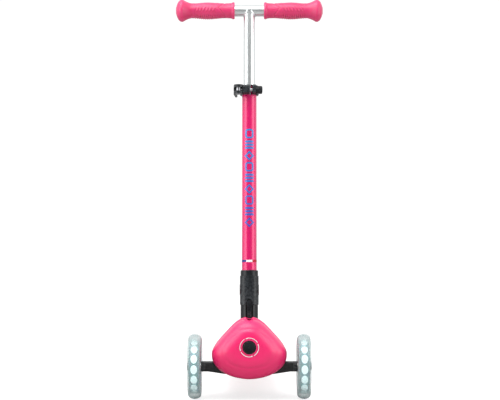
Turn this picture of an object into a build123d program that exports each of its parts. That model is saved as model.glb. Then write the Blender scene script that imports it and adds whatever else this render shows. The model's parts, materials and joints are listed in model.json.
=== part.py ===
from build123d import *
import math
import os

# A three-wheeled folding kick scooter for a small child. Millimetres, +Z up, front towards -Y.
# The origin is on the floor, under the middle of the whole scooter's box.

# Driving dimensions: wheels and track
FRONT_WHEEL_R = 60.0
REAR_WHEEL_R = 40.0
WHEELBASE = 420.0
TRACK_HALF = 101.5          # centre plane of each front wheel
TYRE_WIDTH = 24.5
REAR_TYRE_WIDTH = 24.0
FENDER_R = 48.0             # outside of the brake fender, about the rear axle
FENDER_TAIL_DEG = 15.0      # rear end of the fender, above the horizontal

REAR_REACH = WHEELBASE + FENDER_R * math.cos(math.radians(FENDER_TAIL_DEG))
FRONT_Y = (FRONT_WHEEL_R - REAR_REACH) / 2      # front axle, so that the box is centred on Y
REAR_Y = FRONT_Y + WHEELBASE

# Stem: a frame on the hinge pin, with its own axis leaning back
STEM_LEAN_DEG = 5.0
PIN_Y = FRONT_Y + 40.0
PIN_Z = 200.0
STEM = Location((0, PIN_Y, PIN_Z), (-STEM_LEAN_DEG, 0, 0))
CROSSBAR_S = 537.5          # distances along the stem are measured from the hinge pin
LOWER_TUBE_R = 14.0
LOWER_TUBE_BORE_R = 12.5
LOWER_TUBE_FROM = 16.0
LOWER_TUBE_TO = 388.5
UPPER_TUBE_R = 11.0
UPPER_TUBE_BORE_R = 9.5
UPPER_TUBE_FROM = 302.0
NOTCH_S = 325.0             # the snap button, at the highest of the three settings
NOTCH_STEP = 50.0
NOTCH_COUNT = 3
NOTCH_HOLE_R = 4.7
CLAMP_S = 379.5             # height of the clamp's bolt along the stem
CLAMP_BELOW = 7.5
CLAMP_ABOVE = 11.0
CLAMP_TWIST_DEG = 8.0       # the clamp is turned a little round the tube
RUN_FIT = 0.05              # radial play of a running fit

# Handlebar
BAR_HALF = 138.5
GRIP_FROM = 28.3
GRIP_TO = 141.5

# Folding hinge
PIN_R = 4.0
PIN_CAP_R = 10.0
SLEEVE_R = 16.6
SLEEVE_TOP = 36.7
SLEEVE_FLOOR = 14.0
CHEEK_IN = 12.6
CHEEK_OUT = 17.7
HINGE_WIDTH_HALF = 18.2
CHEEK_SWEEP_R = 28.5
CHEEK_GAP = 0.4             # between the sleeve's foot and the column
FRONT_WALL_IN = -13.5
TONGUE_HALF = 12.4
TONGUE_R = 13.2
COLUMN_R = 16.55
COLUMN_FOOT = -104.0

# Head, nose and deck
PARTING_Y = FRONT_Y - 16.0
NOSE_DEPTH = 36.0
NOSE_TIP_Y = PARTING_Y - NOSE_DEPTH
NOSE_WALL = 3.0
NOSE_HALF_WIDTH = 69.4
NOSE_BOTTOM = 38.5
NOSE_TOP = 150.5
THUMB_GROOVE_R = 7.0
THUMB_GROOVE_Z = 154.5
HEAD_WALL = 3.5
DECK_TOP = 68.0
DECK_BOTTOM = 42.0
DECK_HALF_WIDTH = 58.0
DECK_FRONT_Y = FRONT_Y + 92.0
DECK_TAPER_Y = FRONT_Y + 300.0
DECK_REAR_Y = REAR_Y - 58.0
DECK_WALL = 4.0
PAD_THICKNESS = 1.6
FORK_IN = 15.5
FORK_OUT = 22.0
BUTTON_Z = 101.0            # steering lock button
BUTTON_R = 10.7
BUTTON_TRAVEL = 5.0

# Steering
STEER = Location((0, FRONT_Y, FRONT_WHEEL_R), (45, 0, 0))   # its Z axis is the kingpin, up and forward
KINGPIN_R = 5.0
HUB_HALF = 11.0
BEAM_END = 89.6
BEAM_HEIGHT = 18.3
BEAM_DEPTH = 15.0
AXLE_R = 4.0

# Ball bearings, 22 x 8 x 7
BEARING_R = 11.0
BEARING_WIDTH = 7.0

# Rear brake
BRAKE_PIN_Y = REAR_Y - 52.0
BRAKE_PIN_Z = 66.0
BRAKE_PIN_R = 2.5

LOW = (Align.CENTER, Align.CENTER, Align.MIN)


def rod(radius, start, end):
    """A solid round bar along Z."""
    return Pos(0, 0, start) * Cylinder(radius, end - start, align=LOW)


def pipe(outer, inner, start, end):
    """A round tube along Z."""
    return rod(outer, start, end) - rod(inner, start, end)


def along_x(shape):
    """Turn a shape built along Z so that it runs along X."""
    return Rot(0, 90, 0) * shape


def along_y(shape):
    """Turn a shape built along Z so that it runs along Y."""
    return Rot(-90, 0, 0) * shape


def block(x_range, y_range, z_range):
    """A box given by its lowest and highest corners."""
    size = [high - low for low, high in (x_range, y_range, z_range)]
    centre = [(low + high) / 2 for low, high in (x_range, y_range, z_range)]
    return Pos(*centre) * Box(*size)


def both_sides(shape):
    """A shape and its mirror image across the middle plane."""
    return [shape, mirror(shape, about=Plane.YZ)]


def merged(shapes):
    """One compound of separate solids."""
    solids = []
    for shape in shapes:
        solids.extend(shape.solids())
    return Compound(children=solids)


def coil(mean_radius, wire_radius, length, turns):
    """A compression spring along Z with its lowest point at 0."""
    height = length - 2 * wire_radius
    path = Helix(height / turns, height, mean_radius)
    section = Plane(origin=path @ 0, z_dir=path % 0) * RegularPolygon(wire_radius, 8)
    return Pos(0, 0, wire_radius) * sweep(section, path=path, is_frenet=True)


def screw(head_radius, head_height, shank_radius, length):
    """A pan-head screw: head on Z above 0, shank below, with a cross recess."""
    body = rod(head_radius, 0, head_height) + rod(shank_radius, -length, 0)
    body = fillet(body.edges().group_by(Axis.Z)[-1], head_height * 0.4)
    slot = block((-head_radius * 0.6, head_radius * 0.6), (-0.4, 0.4), (head_height * 0.5, head_height + 1))
    return body - slot - Rot(0, 0, 90) * slot


def hexagon(across_flats, start, end):
    """A hexagonal prism along Z."""
    profile = RegularPolygon(across_flats / 2, 6, major_radius=False)
    return Pos(0, 0, start) * extrude(profile, end - start)


# ---------------------------------------------------------------- front wheels

CORE_R = 50.0
RIM_R = 48.0
RIM_BORE_R = 44.0
HUB_R = 15.0
CELL_COUNT = 16
WEB_HALF = 2.2


def wheel_place(side):
    """Frame of a front wheel, its Z axis pointing outwards."""
    return Location((side * TRACK_HALF, FRONT_Y, FRONT_WHEEL_R), (0, side * 90, 0))


def tyre(outer_radius, bore_radius, width):
    """A solid tyre with a fully rounded tread, axis along Z."""
    crown = Ellipse(width / 2, outer_radius - bore_radius)
    crown -= Pos(0, -outer_radius) * Rectangle(2 * width, 2 * outer_radius)
    section = Plane.XZ * Pos(bore_radius, 0) * Rot(0, 0, -90) * crown
    return revolve(section, Axis.Z)


def front_core():
    """Rim with sixteen lamp pads, a dished web with windows, and the bearing hub."""
    core = pipe(RIM_R, RIM_BORE_R, -10.0, 10.0)
    core += pipe(RIM_BORE_R + 0.5, HUB_R - 0.5, -WEB_HALF, WEB_HALF)
    core += pipe(HUB_R, BEARING_R, -10.5, 10.5)
    pad_profile = SlotOverall(15.0, 9.0)
    pad = extrude(Plane.YZ.offset(RIM_R - 1.0) * Rot(0, 0, 90) * pad_profile, 10.0)
    for number in range(CELL_COUNT):
        core += Rot(0, 0, number * 360 / CELL_COUNT) * pad & rod(CORE_R, -12, 12)
    for number in range(5):
        window = Pos(31.0, 0, 0) * rod(6.5, -5, 5)
        core -= Rot(0, 0, (number + 0.5) * 72) * window
    core += pipe(HUB_R, BEARING_R - 1.5, -3.3, 3.3)
    return core


def led_board():
    """Ring-shaped board on the inner face of the web, with a coil block and lamp pads."""
    board = pipe(23.5, HUB_R + 0.2, -WEB_HALF - 1.6, -WEB_HALF)
    for number in range(4):
        board += Rot(0, 0, 45 + 90 * number) * block((17.5, 21.5), (-2, 2), (-WEB_HALF - 3.4, -WEB_HALF - 1.6))
    return board


def bearing_pair(inner_face):
    """Two shielded ball bearings whose outer faces are inner_face away from the middle."""
    parts = []
    for direction in (-1, 1):
        low, high = sorted((direction * inner_face, direction * (inner_face - BEARING_WIDTH)))
        parts.append(pipe(BEARING_R, 9.2, low, high))
        parts.append(pipe(6.0, AXLE_R + RUN_FIT, low, high))
        parts.append(pipe(9.2, 6.0, low + 0.5, low + 0.9))
        parts.append(pipe(9.2, 6.0, high - 0.9, high - 0.5))
    return merged(parts)


def hub_cap():
    """Clip-in disc over the outer bearing, with a raised rim and a hole for the axle bolt."""
    cap = pipe(HUB_R + 3.0, 8.6, 10.5, 12.0)
    return fillet(cap.edges().group_by(Axis.Z)[-1], 0.6)


# ---------------------------------------------------------------- steering and front axle

def axle_beam():
    """Black cross beam: tapered arms, a kingpin hub and an upright lock plate."""
    half = BEAM_HEIGHT / 2
    points = [
        (-BEAM_END, -half), (-76, -half), (-46, -half - 4.5), (-12, -half - 6.5),
        (12, -half - 6.5), (46, -half - 4.5), (76, -half), (BEAM_END, -half),
        (BEAM_END, half), (24, half), (12, half + 4), (-12, half + 4), (-24, half), (-BEAM_END, half),
    ]
    arms = extrude(Plane.XZ * make_face(Polyline(*points, close=True)), BEAM_DEPTH / 2, both=True)
    arms = chamfer(arms.edges().filter_by(Axis.X), 2.2)
    arms = Pos(0, FRONT_Y, FRONT_WHEEL_R) * arms
    for side in (-1, 1):
        arms += Pos(side * (BEAM_END - 4), FRONT_Y, FRONT_WHEEL_R) * along_x(rod(9.6, -4, 4))
    plate = block((-7, 7), (LOCK_PLATE_Y, LOCK_PLATE_Y + 5), (FRONT_WHEEL_R + 8, BUTTON_Z + 7))
    plate = chamfer(plate.edges().filter_by(Axis.Y), 2.0)
    plate -= Pos(0, LOCK_PLATE_Y, BUTTON_Z) * along_y(rod(PLUNGER_R + 0.4, -1, 7))
    beam = arms + plate + STEER * rod(13.0, -HUB_HALF, HUB_HALF)
    beam -= STEER * rod(10.2, HUB_HALF, 30)
    beam -= STEER * rod(16.0, -30, -HUB_HALF)
    beam -= STEER * rod(7.5, -30, 30)
    for side in (-1, 1):
        beam -= wheel_place(side) * rod(AXLE_R, BEAM_END - TRACK_HALF - 26, 0)
    return beam


def beam_bush():
    """Flanged plain bush between the beam and the kingpin."""
    running = KINGPIN_R + RUN_FIT
    return STEER * (pipe(7.5, running, -HUB_HALF, HUB_HALF) + pipe(9.5, running, HUB_HALF, HUB_HALF + 1.5))


def kingpin():
    """Shouldered bolt through the beam into the base casting."""
    head = hexagon(14.0, HUB_HALF + 1.6, HUB_HALF + 7.0)
    return STEER * (head + rod(KINGPIN_R, -BOSS_END - 4.5, HUB_HALF + 1.6))


def kingpin_nut():
    """Lock nut under the casting."""
    return STEER * (hexagon(14.0, -BOSS_END - 5.0, -BOSS_END) - rod(KINGPIN_R, -BOSS_END - 6, -BOSS_END + 1))


BOSS_START = HUB_HALF + 0.5
BOSS_END = 24.0
HUB_CLEAR_R = 22.5           # room for the leaning beam round the kingpin
LOCK_PLATE_Y = FRONT_Y - 0.8
PLUNGER_R = 3.0
SPRING_X = 34.0
SPRING_SEAT_Z = FRONT_WHEEL_R + BEAM_HEIGHT / 2


def wheel_spacers():
    """Turned spacers between the beam's ends and the inner bearings."""
    one = pipe(6.5, AXLE_R, BEAM_END - TRACK_HALF, -10.5 - 0.1)
    return merged([wheel_place(side) * one for side in (-1, 1)])


def axle_bolts():
    """Shoulder bolts that carry the front wheels, with hexagon sockets in their heads."""
    head = rod(7.0, 10.6, 15.0)
    head = fillet(head.edges().group_by(Axis.Z)[-1], 1.2)
    bolt = head + rod(AXLE_R, BEAM_END - TRACK_HALF - 25, 10.6)
    bolt -= hexagon(5.0, 12.2, 16.0)
    return merged([wheel_place(side) * bolt for side in (-1, 1)])


# ---------------------------------------------------------------- nose, head and deck

NOSE_SIDE = [(33.0, 44.0), (56.5, 57.2), (67.0, 71.0), (NOSE_HALF_WIDTH, 85.0), (60.0, 104.5), (40.0, 127.0),
             (16.0, 147.0)]


def nose_outline():
    """The closed pick-shaped outline in X and Z, from the bottom middle up its right side and round."""
    left = [(-x, z) for x, z in reversed(NOSE_SIDE)]
    return Spline((0, NOSE_BOTTOM), *NOSE_SIDE, (0, NOSE_TOP), *left, periodic=True)


def deck_outline():
    """Half of the deck's cross-section, from its bottom middle to its top middle."""
    corner = 9.0
    half = DECK_HALF_WIDTH - 0.4
    low, high = DECK_BOTTOM, DECK_TOP - 0.4
    return FilletPolyline((0, low), (half, low), (half, high), (0, high), radius=corner)


SAMPLES = 18


def section_points(blend, wall=0.0):
    """Blend the nose outline into the deck outline; a wall makes the cavity, open below."""
    nose, deck = nose_outline(), deck_outline()
    points = []
    for number in range(SAMPLES + 1):
        along = number / SAMPLES
        mixed = (nose @ (along / 2)) * (1 - blend) + (deck @ along) * blend
        points.append((mixed.X, mixed.Y))
    if wall:
        width = max(point[0] for point in points)
        top = points[-1][1]
        bottom = points[0][1]
        middle = (top + bottom) / 2
        rise = (top - wall - middle) / (top - middle)
        drop = (middle - bottom + 12.0) / (middle - bottom)
        points = [
            (x * (width - wall) / width, middle + (z - middle) * (rise if z > middle else drop))
            for x, z in points
        ]
    return points


def section_face(points, y):
    """A closed smooth section across the scooter at y."""
    mirrored = [(-x, z) for x, z in reversed(points[1:-1])]
    outline = Spline(*(points + mirrored), periodic=True)
    return Pos(0, y, 0) * (Plane(origin=(0, 0, 0), x_dir=(1, 0, 0), z_dir=(0, -1, 0)) * make_face(outline))


HEAD_STATIONS = [(0, 0.0), (24, 0.006), (48, 0.02), (64, 0.09), (80, 0.27), (98, 0.57), (118, 0.85), (138, 0.98),
                 (158, 1.0)]


def head_loft(wall=0.0):
    """The head, from the parting line back into the deck."""
    sections = []
    for distance, blend in HEAD_STATIONS:
        sections.append(section_face(section_points(blend, wall), PARTING_Y + distance))
    return loft(sections)


def deck_plan(inset=0.0):
    """Outline of the deck seen from above, narrowing to the rear fork."""
    half = DECK_HALF_WIDTH - inset
    rear = DECK_REAR_Y - inset
    fork = FORK_OUT + 6.0 - inset
    points = [(-half, DECK_FRONT_Y), (half, DECK_FRONT_Y), (half - 3, DECK_TAPER_Y), (fork, rear), (-fork, rear),
              (-half + 3, DECK_TAPER_Y)]
    plan = make_face(Polyline(*points, close=True))
    return fillet(plan.vertices().group_by(Axis.Y)[1], 40.0)


def fork_cheek():
    """Side plate from the deck to the rear axle, also carrying the brake pin."""
    front = DECK_REAR_Y - 34.0
    plate = Pos(front, (DECK_TOP + DECK_BOTTOM) / 2) * Rectangle(2.0, DECK_TOP - DECK_BOTTOM)
    plate += Pos(REAR_Y, REAR_WHEEL_R) * Circle(13.0)
    plate += Pos(BRAKE_PIN_Y, BRAKE_PIN_Z) * Circle(7.0)
    profile = make_hull(plate.edges())
    cheek = Pos(FORK_IN, 0, 0) * extrude(Plane.YZ * profile, FORK_OUT - FORK_IN)
    return chamfer(cheek.faces().sort_by(Axis.X)[-1].edges(), 1.2)


MOUNT_POINTS = [(-24.0, FRONT_Y + 12.0), (24.0, FRONT_Y + 12.0), (-24.0, FRONT_Y + 59.0), (24.0, FRONT_Y + 59.0)]
FLANGE_LOW = 98.0
FLANGE_HIGH = 104.0
NOSE_SCREWS = [(-54.0, 92.0), (54.0, 92.0), (-30.0, 122.0), (30.0, 122.0)]
RIB_PITCH = 36.0


def deck_board():
    """One moulding: head, deck plate and rear fork, hollow and ribbed underneath."""
    outer = head_loft()
    plate = Pos(0, 0, DECK_BOTTOM) * extrude(deck_plan(), DECK_TOP - DECK_BOTTOM)
    plate = fillet(plate.edges().group_by(Axis.Z)[-1], 4.0)
    board = outer + plate
    for cheek in both_sides(fork_cheek()):
        board += cheek
    board -= block((-FORK_IN, FORK_IN), (DECK_REAR_Y - 3.0, REAR_Y + 60), (0, 120))

    cavity = head_loft(HEAD_WALL) & block((-90, 90), (PARTING_Y - 1, DECK_FRONT_Y + 24), (0, 160))
    board -= cavity
    cell_top = DECK_TOP - DECK_WALL
    under = Pos(0, 0, DECK_BOTTOM - 1) * extrude(deck_plan(DECK_WALL), cell_top - DECK_BOTTOM + 1)
    under &= block((-90, 90), (DECK_FRONT_Y + 28, DECK_REAR_Y - 8), (0, 100))
    board -= under
    rib_y = DECK_FRONT_Y + 28 + RIB_PITCH
    while rib_y < DECK_REAR_Y - 20:
        board += block((-70, 70), (rib_y - 1.5, rib_y + 1.5), (DECK_BOTTOM + 3, cell_top + 1)) & plate
        rib_y += RIB_PITCH
    for rib_x in (-26.0, 0.0, 26.0):
        rib = block(
            (rib_x - 1.5, rib_x + 1.5), (DECK_FRONT_Y + 25, DECK_REAR_Y - 5), (DECK_BOTTOM + 3, cell_top + 1),
        )
        board += rib & plate

    for x, y in MOUNT_POINTS:
        board += Pos(x, y, 0) * rod(5.0, FLANGE_HIGH, 160) & outer
        board -= Pos(x, y, 0) * rod(1.8, FLANGE_HIGH - 1, FLANGE_HIGH + 14)
    for x, z in NOSE_SCREWS:
        board += Pos(x, PARTING_Y, z) * along_y(rod(4.5, 0, 14)) & outer
        board += screw_web(x, z) & outer
        board -= Pos(x, PARTING_Y, z) * along_y(rod(1.6, -1, 15))
    for side in (-1, 1):
        x_range = sorted((side * 20.0, side * 90.0))
        board -= block(x_range, (PARTING_Y - 1, FRONT_Y + 22), (20, 84))
    board -= STEM * rod(COLUMN_R + 0.25, -90, 20)
    bar_half = FOLD_BAR_HALF + BAR_GAP
    board -= STEM * block((-bar_half, bar_half), (FOLD_BAR_FRONT - 1.2, 0), (FOLD_BAR_LOW - BAR_GAP, 0))
    board -= thumb_groove()
    board -= Pos(0, REAR_Y, REAR_WHEEL_R) * along_x(rod(AXLE_R, -40, 40))
    board -= Pos(0, BRAKE_PIN_Y, BRAKE_PIN_Z) * along_x(rod(BRAKE_PIN_R, -40, 40))
    return board


def screw_web(x, z):
    """Rib that ties a nose screw boss to the head's wall."""
    outward = 1 if x > 0 else -1
    x_range = sorted((x, x + outward * 40))
    return block(x_range, (PARTING_Y, PARTING_Y + 14), (z - 1.5, z + 1.5))


def thumb_groove():
    """Channel over the top of the head that leads the thumb to the fold button."""
    return Pos(0, FRONT_Y, THUMB_GROOVE_Z) * along_y(rod(THUMB_GROOVE_R, -70, 30))


def deck_grip_pad():
    """Thin ribbed rubber sheet on the standing area."""
    front, rear = FRONT_Y + 152.0, DECK_REAR_Y - 38.0
    points = [
        (-44, front), (44, front), (46, DECK_TAPER_Y - 16),
        (36, rear), (-36, rear), (-46, DECK_TAPER_Y - 16),
    ]
    plan = fillet(make_face(Polyline(*points, close=True)).vertices(), 12.0)
    pad = Pos(0, 0, DECK_TOP) * extrude(plan, PAD_THICKNESS)
    return chamfer(pad.edges().group_by(Axis.Z)[-1], 0.5)


NOSE_STATIONS = [(0, 1.0), (6, 0.995), (13, 0.965), (20, 0.90), (26, 0.80), (31, 0.67), (34.6, 0.52), (36, 0.40)]
NOSE_FOCUS = BUTTON_Z


def nose_loft(wall=0.0):
    """Domed cover from the parting line to the flat land round the button."""
    sections = []
    shrink = wall / NOSE_HALF_WIDTH
    for distance, scale in NOSE_STATIONS:
        size = scale - shrink
        points = [(x * size, NOSE_FOCUS + (z - NOSE_FOCUS) * size) for x, z in section_points(0.0)]
        sections.append(section_face(points, PARTING_Y - distance + wall))
    return loft(sections)


def nose_cover():
    """Thin domed shell with screw bosses, a button opening and the thumb groove."""
    outer = nose_loft()
    inner = nose_loft(NOSE_WALL) + nose_loft(NOSE_WALL).moved(Location((0, NOSE_WALL, 0)))
    cover = outer - inner
    for x, z in NOSE_SCREWS:
        cover += Pos(x, PARTING_Y, z) * along_y(rod(4.5, -34, 0)) & outer
        cover -= Pos(x, PARTING_Y, z) * along_y(rod(1.6, -12, 1))
    cover -= Pos(0, NOSE_TIP_Y, BUTTON_Z) * along_y(rod(CUP_R + 0.1, -5, 8))
    cover -= thumb_groove()
    return cover


def nose_screws():
    """Four screws driven from inside the head into the nose cover."""
    parts = []
    for x, z in NOSE_SCREWS:
        one = Rot(-90, 0, 0) * screw(3.2, 2.2, 1.6, 24.0)
        parts.append(Pos(x, PARTING_Y + 14.0, z) * one)
    return merged(parts)


def nose_ring():
    """Thin trim ring round the steering lock button."""
    ring = along_y(pipe(17.8, 16.2, -0.7, 0))
    ring = chamfer(ring.edges().filter_by(GeomType.CIRCLE).group_by(Axis.Y)[0], 0.3)
    return Pos(0, NOSE_TIP_Y, BUTTON_Z) * ring


LOCK_CUP_DEPTH = 22.0
CUP_R = 12.4
BUTTON_PROUD = 3.2
BUTTON_LENGTH = 11.0


def lock_guide():
    """Black cup that the lock button slides in, with a guide hole for its plunger."""
    cup = pipe(CUP_R, BUTTON_R + 0.35, -0.6, LOCK_CUP_DEPTH) + rod(CUP_R, LOCK_CUP_DEPTH, LOCK_CUP_DEPTH + 3)
    cup += pipe(17.5, CUP_R, NOSE_WALL, NOSE_WALL + 2.0)
    cup -= rod(PLUNGER_R + 0.3, LOCK_CUP_DEPTH - 1, LOCK_CUP_DEPTH + 4)
    return Pos(0, NOSE_TIP_Y, BUTTON_Z) * along_y(cup)


def lock_button():
    """Round push button with a finger dish and a long plunger."""
    cap = rod(BUTTON_R, -BUTTON_PROUD, -BUTTON_PROUD + BUTTON_LENGTH)
    cap = fillet(cap.edges().group_by(Axis.Z)[0], 1.4)
    cap -= Pos(0, 0, -BUTTON_PROUD - 38.6) * Sphere(39.6)
    plunger_end = LOCK_PLATE_Y - NOSE_TIP_Y - 0.5 - BUTTON_TRAVEL
    return Pos(0, NOSE_TIP_Y, BUTTON_Z) * along_y(cap + rod(PLUNGER_R, 0, plunger_end))


def lock_spring():
    """Return spring round the plunger."""
    start = -BUTTON_PROUD + BUTTON_LENGTH
    length = LOCK_CUP_DEPTH - start - BUTTON_TRAVEL - 0.4
    return Pos(0, NOSE_TIP_Y + start, BUTTON_Z) * along_y(coil(7.0, 0.6, length, 4))


# ---------------------------------------------------------------- folding hinge

FOLD_BAR_HALF = 4.2
FOLD_BAR_LOW = -54.5
FOLD_BAR_HIGH = -20.5
BAR_ARCH_S = -23.0           # arch in the sleeve's front wall, over the bar's top
BAR_ARCH_R = 5.0
FOLD_BAR_FRONT = -18.2
FOLD_BAR_BACK = -12.2
FOLD_TRAVEL = 4.0
BAR_GAP = 0.8                # round the release bar, in the head


def hinge_base():
    """Casting: flange inside the head, column and tongue above it, kingpin boss below it."""
    flange = block((-33, 33), (FRONT_Y + 3, FRONT_Y + 68), (FLANGE_LOW, FLANGE_HIGH))
    flange = fillet(flange.edges().filter_by(Axis.Z), 6.0)
    flange -= block((-16, 16), (FRONT_Y, FRONT_Y + 8), (90, 110))
    column = rod(COLUMN_R, COLUMN_FOOT, -10)
    sweep = CHEEK_SWEEP_R + CHEEK_GAP
    column -= along_x(rod(sweep, -30, 30)) + block((-30, 30), (-30, 0), (-sweep, 0))
    side_view = Pos(0, -25) * Rectangle(2 * TONGUE_R, 50) + Circle(TONGUE_R)
    tongue = extrude(Plane.YZ * side_view, TONGUE_HALF, both=True)
    side_edges = []
    for face in (tongue.faces().sort_by(Axis.X)[0], tongue.faces().sort_by(Axis.X)[-1]):
        side_edges += face.edges().filter_by(lambda edge: edge.center().Z > -40)
    tongue = fillet(side_edges, 5.0)
    recess = block((-6.8, 6.8), (-20, FOLD_BAR_BACK - 0.2), (FOLD_BAR_LOW - 4, -22))
    recess = fillet(recess.edges().filter_by(Axis.Y).group_by(Axis.Z)[0], 5.0)
    slot_back = FOLD_BAR_BACK + FOLD_TRAVEL + 0.3
    slot = block(
        (-FOLD_BAR_HALF - 0.3, FOLD_BAR_HALF + 0.3), (-20, slot_back), (FOLD_BAR_LOW - 0.4, FOLD_BAR_HIGH + 0.5),
    )
    upright = column + tongue - recess - slot
    upright -= along_x(rod(PIN_R + RUN_FIT, -30, 30))
    upright -= Pos(0, 0, (FOLD_BAR_LOW + FOLD_BAR_HIGH) / 2) * along_y(rod(3.4, -15, 1.0))
    base = flange + STEM * upright

    post = block((-14, 14), (FRONT_Y + 8, FRONT_Y + 40), (38, FLANGE_LOW + 1))
    post += STEER * rod(12.0, -BOSS_END, 0)
    post -= block((-40, 40), (FRONT_Y + 8, FRONT_Y + 60), (0, 34))
    post -= STEER * rod(HUB_CLEAR_R, -BOSS_START, 60)
    post -= STEER * (rod(13.0, -60, -BOSS_END))
    rib = block((-3, 3), (FRONT_Y + 14, FRONT_Y + 65), (60, FLANGE_LOW + 1))
    rib -= Pos(0, FRONT_Y + 73, 56) * along_x(rod(34.0, -5, 5))
    rib -= STEER * rod(HUB_CLEAR_R, -BOSS_START, 60)
    base += post + rib
    base -= STEER * rod(KINGPIN_R, -40, 0)
    for x, y in MOUNT_POINTS:
        base -= Pos(x, y, 0) * rod(2.2, FLANGE_LOW - 1, FLANGE_HIGH + 1)
    for side in (-1, 1):
        base += Pos(side * SPRING_X, FRONT_Y, 0) * rod(7.5, FLANGE_LOW, FLANGE_HIGH)
    return base


def hinge_base_screws():
    """Four screws that hold the casting up into the head."""
    parts = []
    for x, y in MOUNT_POINTS:
        parts.append(Pos(x, y, FLANGE_LOW) * Rot(180, 0, 0) * screw(4.0, 2.6, 1.8, 18.0))
    return merged(parts)


def steering_springs():
    """Centring springs between the beam and the casting's flange."""
    one = coil(5.5, 1.0, FLANGE_LOW - SPRING_SEAT_Z, 5)
    return merged([Pos(side * SPRING_X, FRONT_Y, SPRING_SEAT_Z) * one for side in (-1, 1)])


def fold_button():
    """Long release bar in the front of the column, with finger ridges at its foot."""
    height = FOLD_BAR_HIGH - FOLD_BAR_LOW
    outline = Rectangle(2 * FOLD_BAR_HALF, height)
    outline = fillet(outline.vertices().group_by(Axis.Y)[0], FOLD_BAR_HALF - 0.05)
    outline = fillet(outline.vertices().group_by(Axis.Y)[-1], 1.0)
    bar = extrude(Plane.XZ * outline, FOLD_BAR_BACK - FOLD_BAR_FRONT)
    bar = Pos(0, FOLD_BAR_BACK, (FOLD_BAR_HIGH + FOLD_BAR_LOW) / 2) * bar
    ridge_range = (FOLD_BAR_LOW + 3.0, FOLD_BAR_LOW + 14.0)
    for ridge_x in (-2.2, 0.0, 2.2):
        bar += block((ridge_x - 0.5, ridge_x + 0.5), (FOLD_BAR_FRONT - 0.6, FOLD_BAR_FRONT + 1), ridge_range)
    return STEM * bar


def fold_button_spring():
    """Return spring behind the release bar."""
    place = Pos(0, FOLD_BAR_BACK, (FOLD_BAR_LOW + FOLD_BAR_HIGH) / 2)
    return STEM * place * along_y(coil(2.5, 0.4, 8.6, 5))


def hinge_sleeve():
    """Black sleeve under the lower tube: two cheeks, a front wall, and open behind."""
    ring = rod(SLEEVE_R, SLEEVE_FLOOR, SLEEVE_TOP)
    cheeks = Pos(0, 0, -30) * extrude(RectangleRounded(2 * CHEEK_OUT, 2 * SLEEVE_R, 14.0), 56)
    keep = along_x(rod(CHEEK_SWEEP_R, -30, 30)) + block((-30, 30), (-SLEEVE_R, SLEEVE_R), (0, 30))
    keep += block((-30, 30), (-SLEEVE_R, 0), (-CHEEK_SWEEP_R, 0))
    cheeks &= keep
    sleeve = ring + cheeks
    hollow = block((-CHEEK_IN, CHEEK_IN), (FRONT_WALL_IN, 30), (-40, SLEEVE_FLOOR))
    hollow = fillet(hollow.edges().filter_by(Axis.Z).group_by(Axis.Y)[0], 5.0)
    sleeve -= hollow
    sleeve -= Pos(0, 0, BAR_ARCH_S) * along_y(rod(BAR_ARCH_R, -30, 0))
    sleeve -= block((-BAR_ARCH_R, BAR_ARCH_R), (-30, 0), (-40, BAR_ARCH_S))
    sleeve -= rod(LOWER_TUBE_R, LOWER_TUBE_FROM, 60)
    sleeve -= rod(LOWER_TUBE_BORE_R, 0, 60) & block((-30, 30), (-30, 30), (SLEEVE_FLOOR - 1, 60))
    sleeve -= along_x(rod(PIN_R, -30, 30))
    for side in (-1, 1):
        low, high = sorted((side * (CHEEK_OUT - 2.0), side * 30))
        sleeve -= along_x(rod(PIN_CAP_R, low, high))
    top_edges = sleeve.faces().sort_by(Axis.Z)[-1].edges().sort_by(SortBy.LENGTH)
    sleeve = chamfer(top_edges[-1], 1.0)
    for s in SLEEVE_SCREWS:
        sleeve -= Pos(0, 0, s) * along_y(rod(1.8, 10, 20))
    return STEM * sleeve


SLEEVE_SCREWS = (20.5, 30.5)


def sleeve_screws():
    """Two screws through the back of the sleeve into the lower tube."""
    parts = []
    for s in SLEEVE_SCREWS:
        parts.append(STEM * Pos(0, SLEEVE_R, s) * Rot(-90, 0, 0) * screw(3.0, 1.8, 1.8, SLEEVE_R - 12.6))
    return merged(parts)


def hinge_pin():
    """Headed pin across the hinge, with a cap on each side."""
    pin = along_x(rod(PIN_R, -CHEEK_OUT, CHEEK_OUT))
    for side in (-1, 1):
        low, high = sorted((side * (CHEEK_OUT - 2.0), side * HINGE_WIDTH_HALF))
        pin += along_x(rod(PIN_CAP_R, low, high))
        dimple_low, dimple_high = sorted((side * (HINGE_WIDTH_HALF - 0.8), side * 30))
        pin -= along_x(rod(4.5, dimple_low, dimple_high))
    return STEM * pin


# ---------------------------------------------------------------- stem and clamp

def slit(width, start, end):
    """Clamping slit through the front wall of a tube, turned with the clamp."""
    return Rot(0, 0, CLAMP_TWIST_DEG) * block((-width / 2, width / 2), (-20, -8), (start, end))


def lower_tube():
    """Pink tube, slit at the top for the clamp and drilled behind for the height settings."""
    body = pipe(LOWER_TUBE_R, LOWER_TUBE_BORE_R, LOWER_TUBE_FROM, LOWER_TUBE_TO)
    body -= slit(3.0, LOWER_TUBE_TO - 18, LOWER_TUBE_TO + 1)
    for notch in range(NOTCH_COUNT):
        body -= Pos(0, 0, NOTCH_S - notch * NOTCH_STEP) * along_y(rod(NOTCH_HOLE_R, 5, 20))
    for s in SLEEVE_SCREWS:
        body -= Pos(0, 0, s) * along_y(rod(1.8, 5, 20))
    return STEM * body


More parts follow.
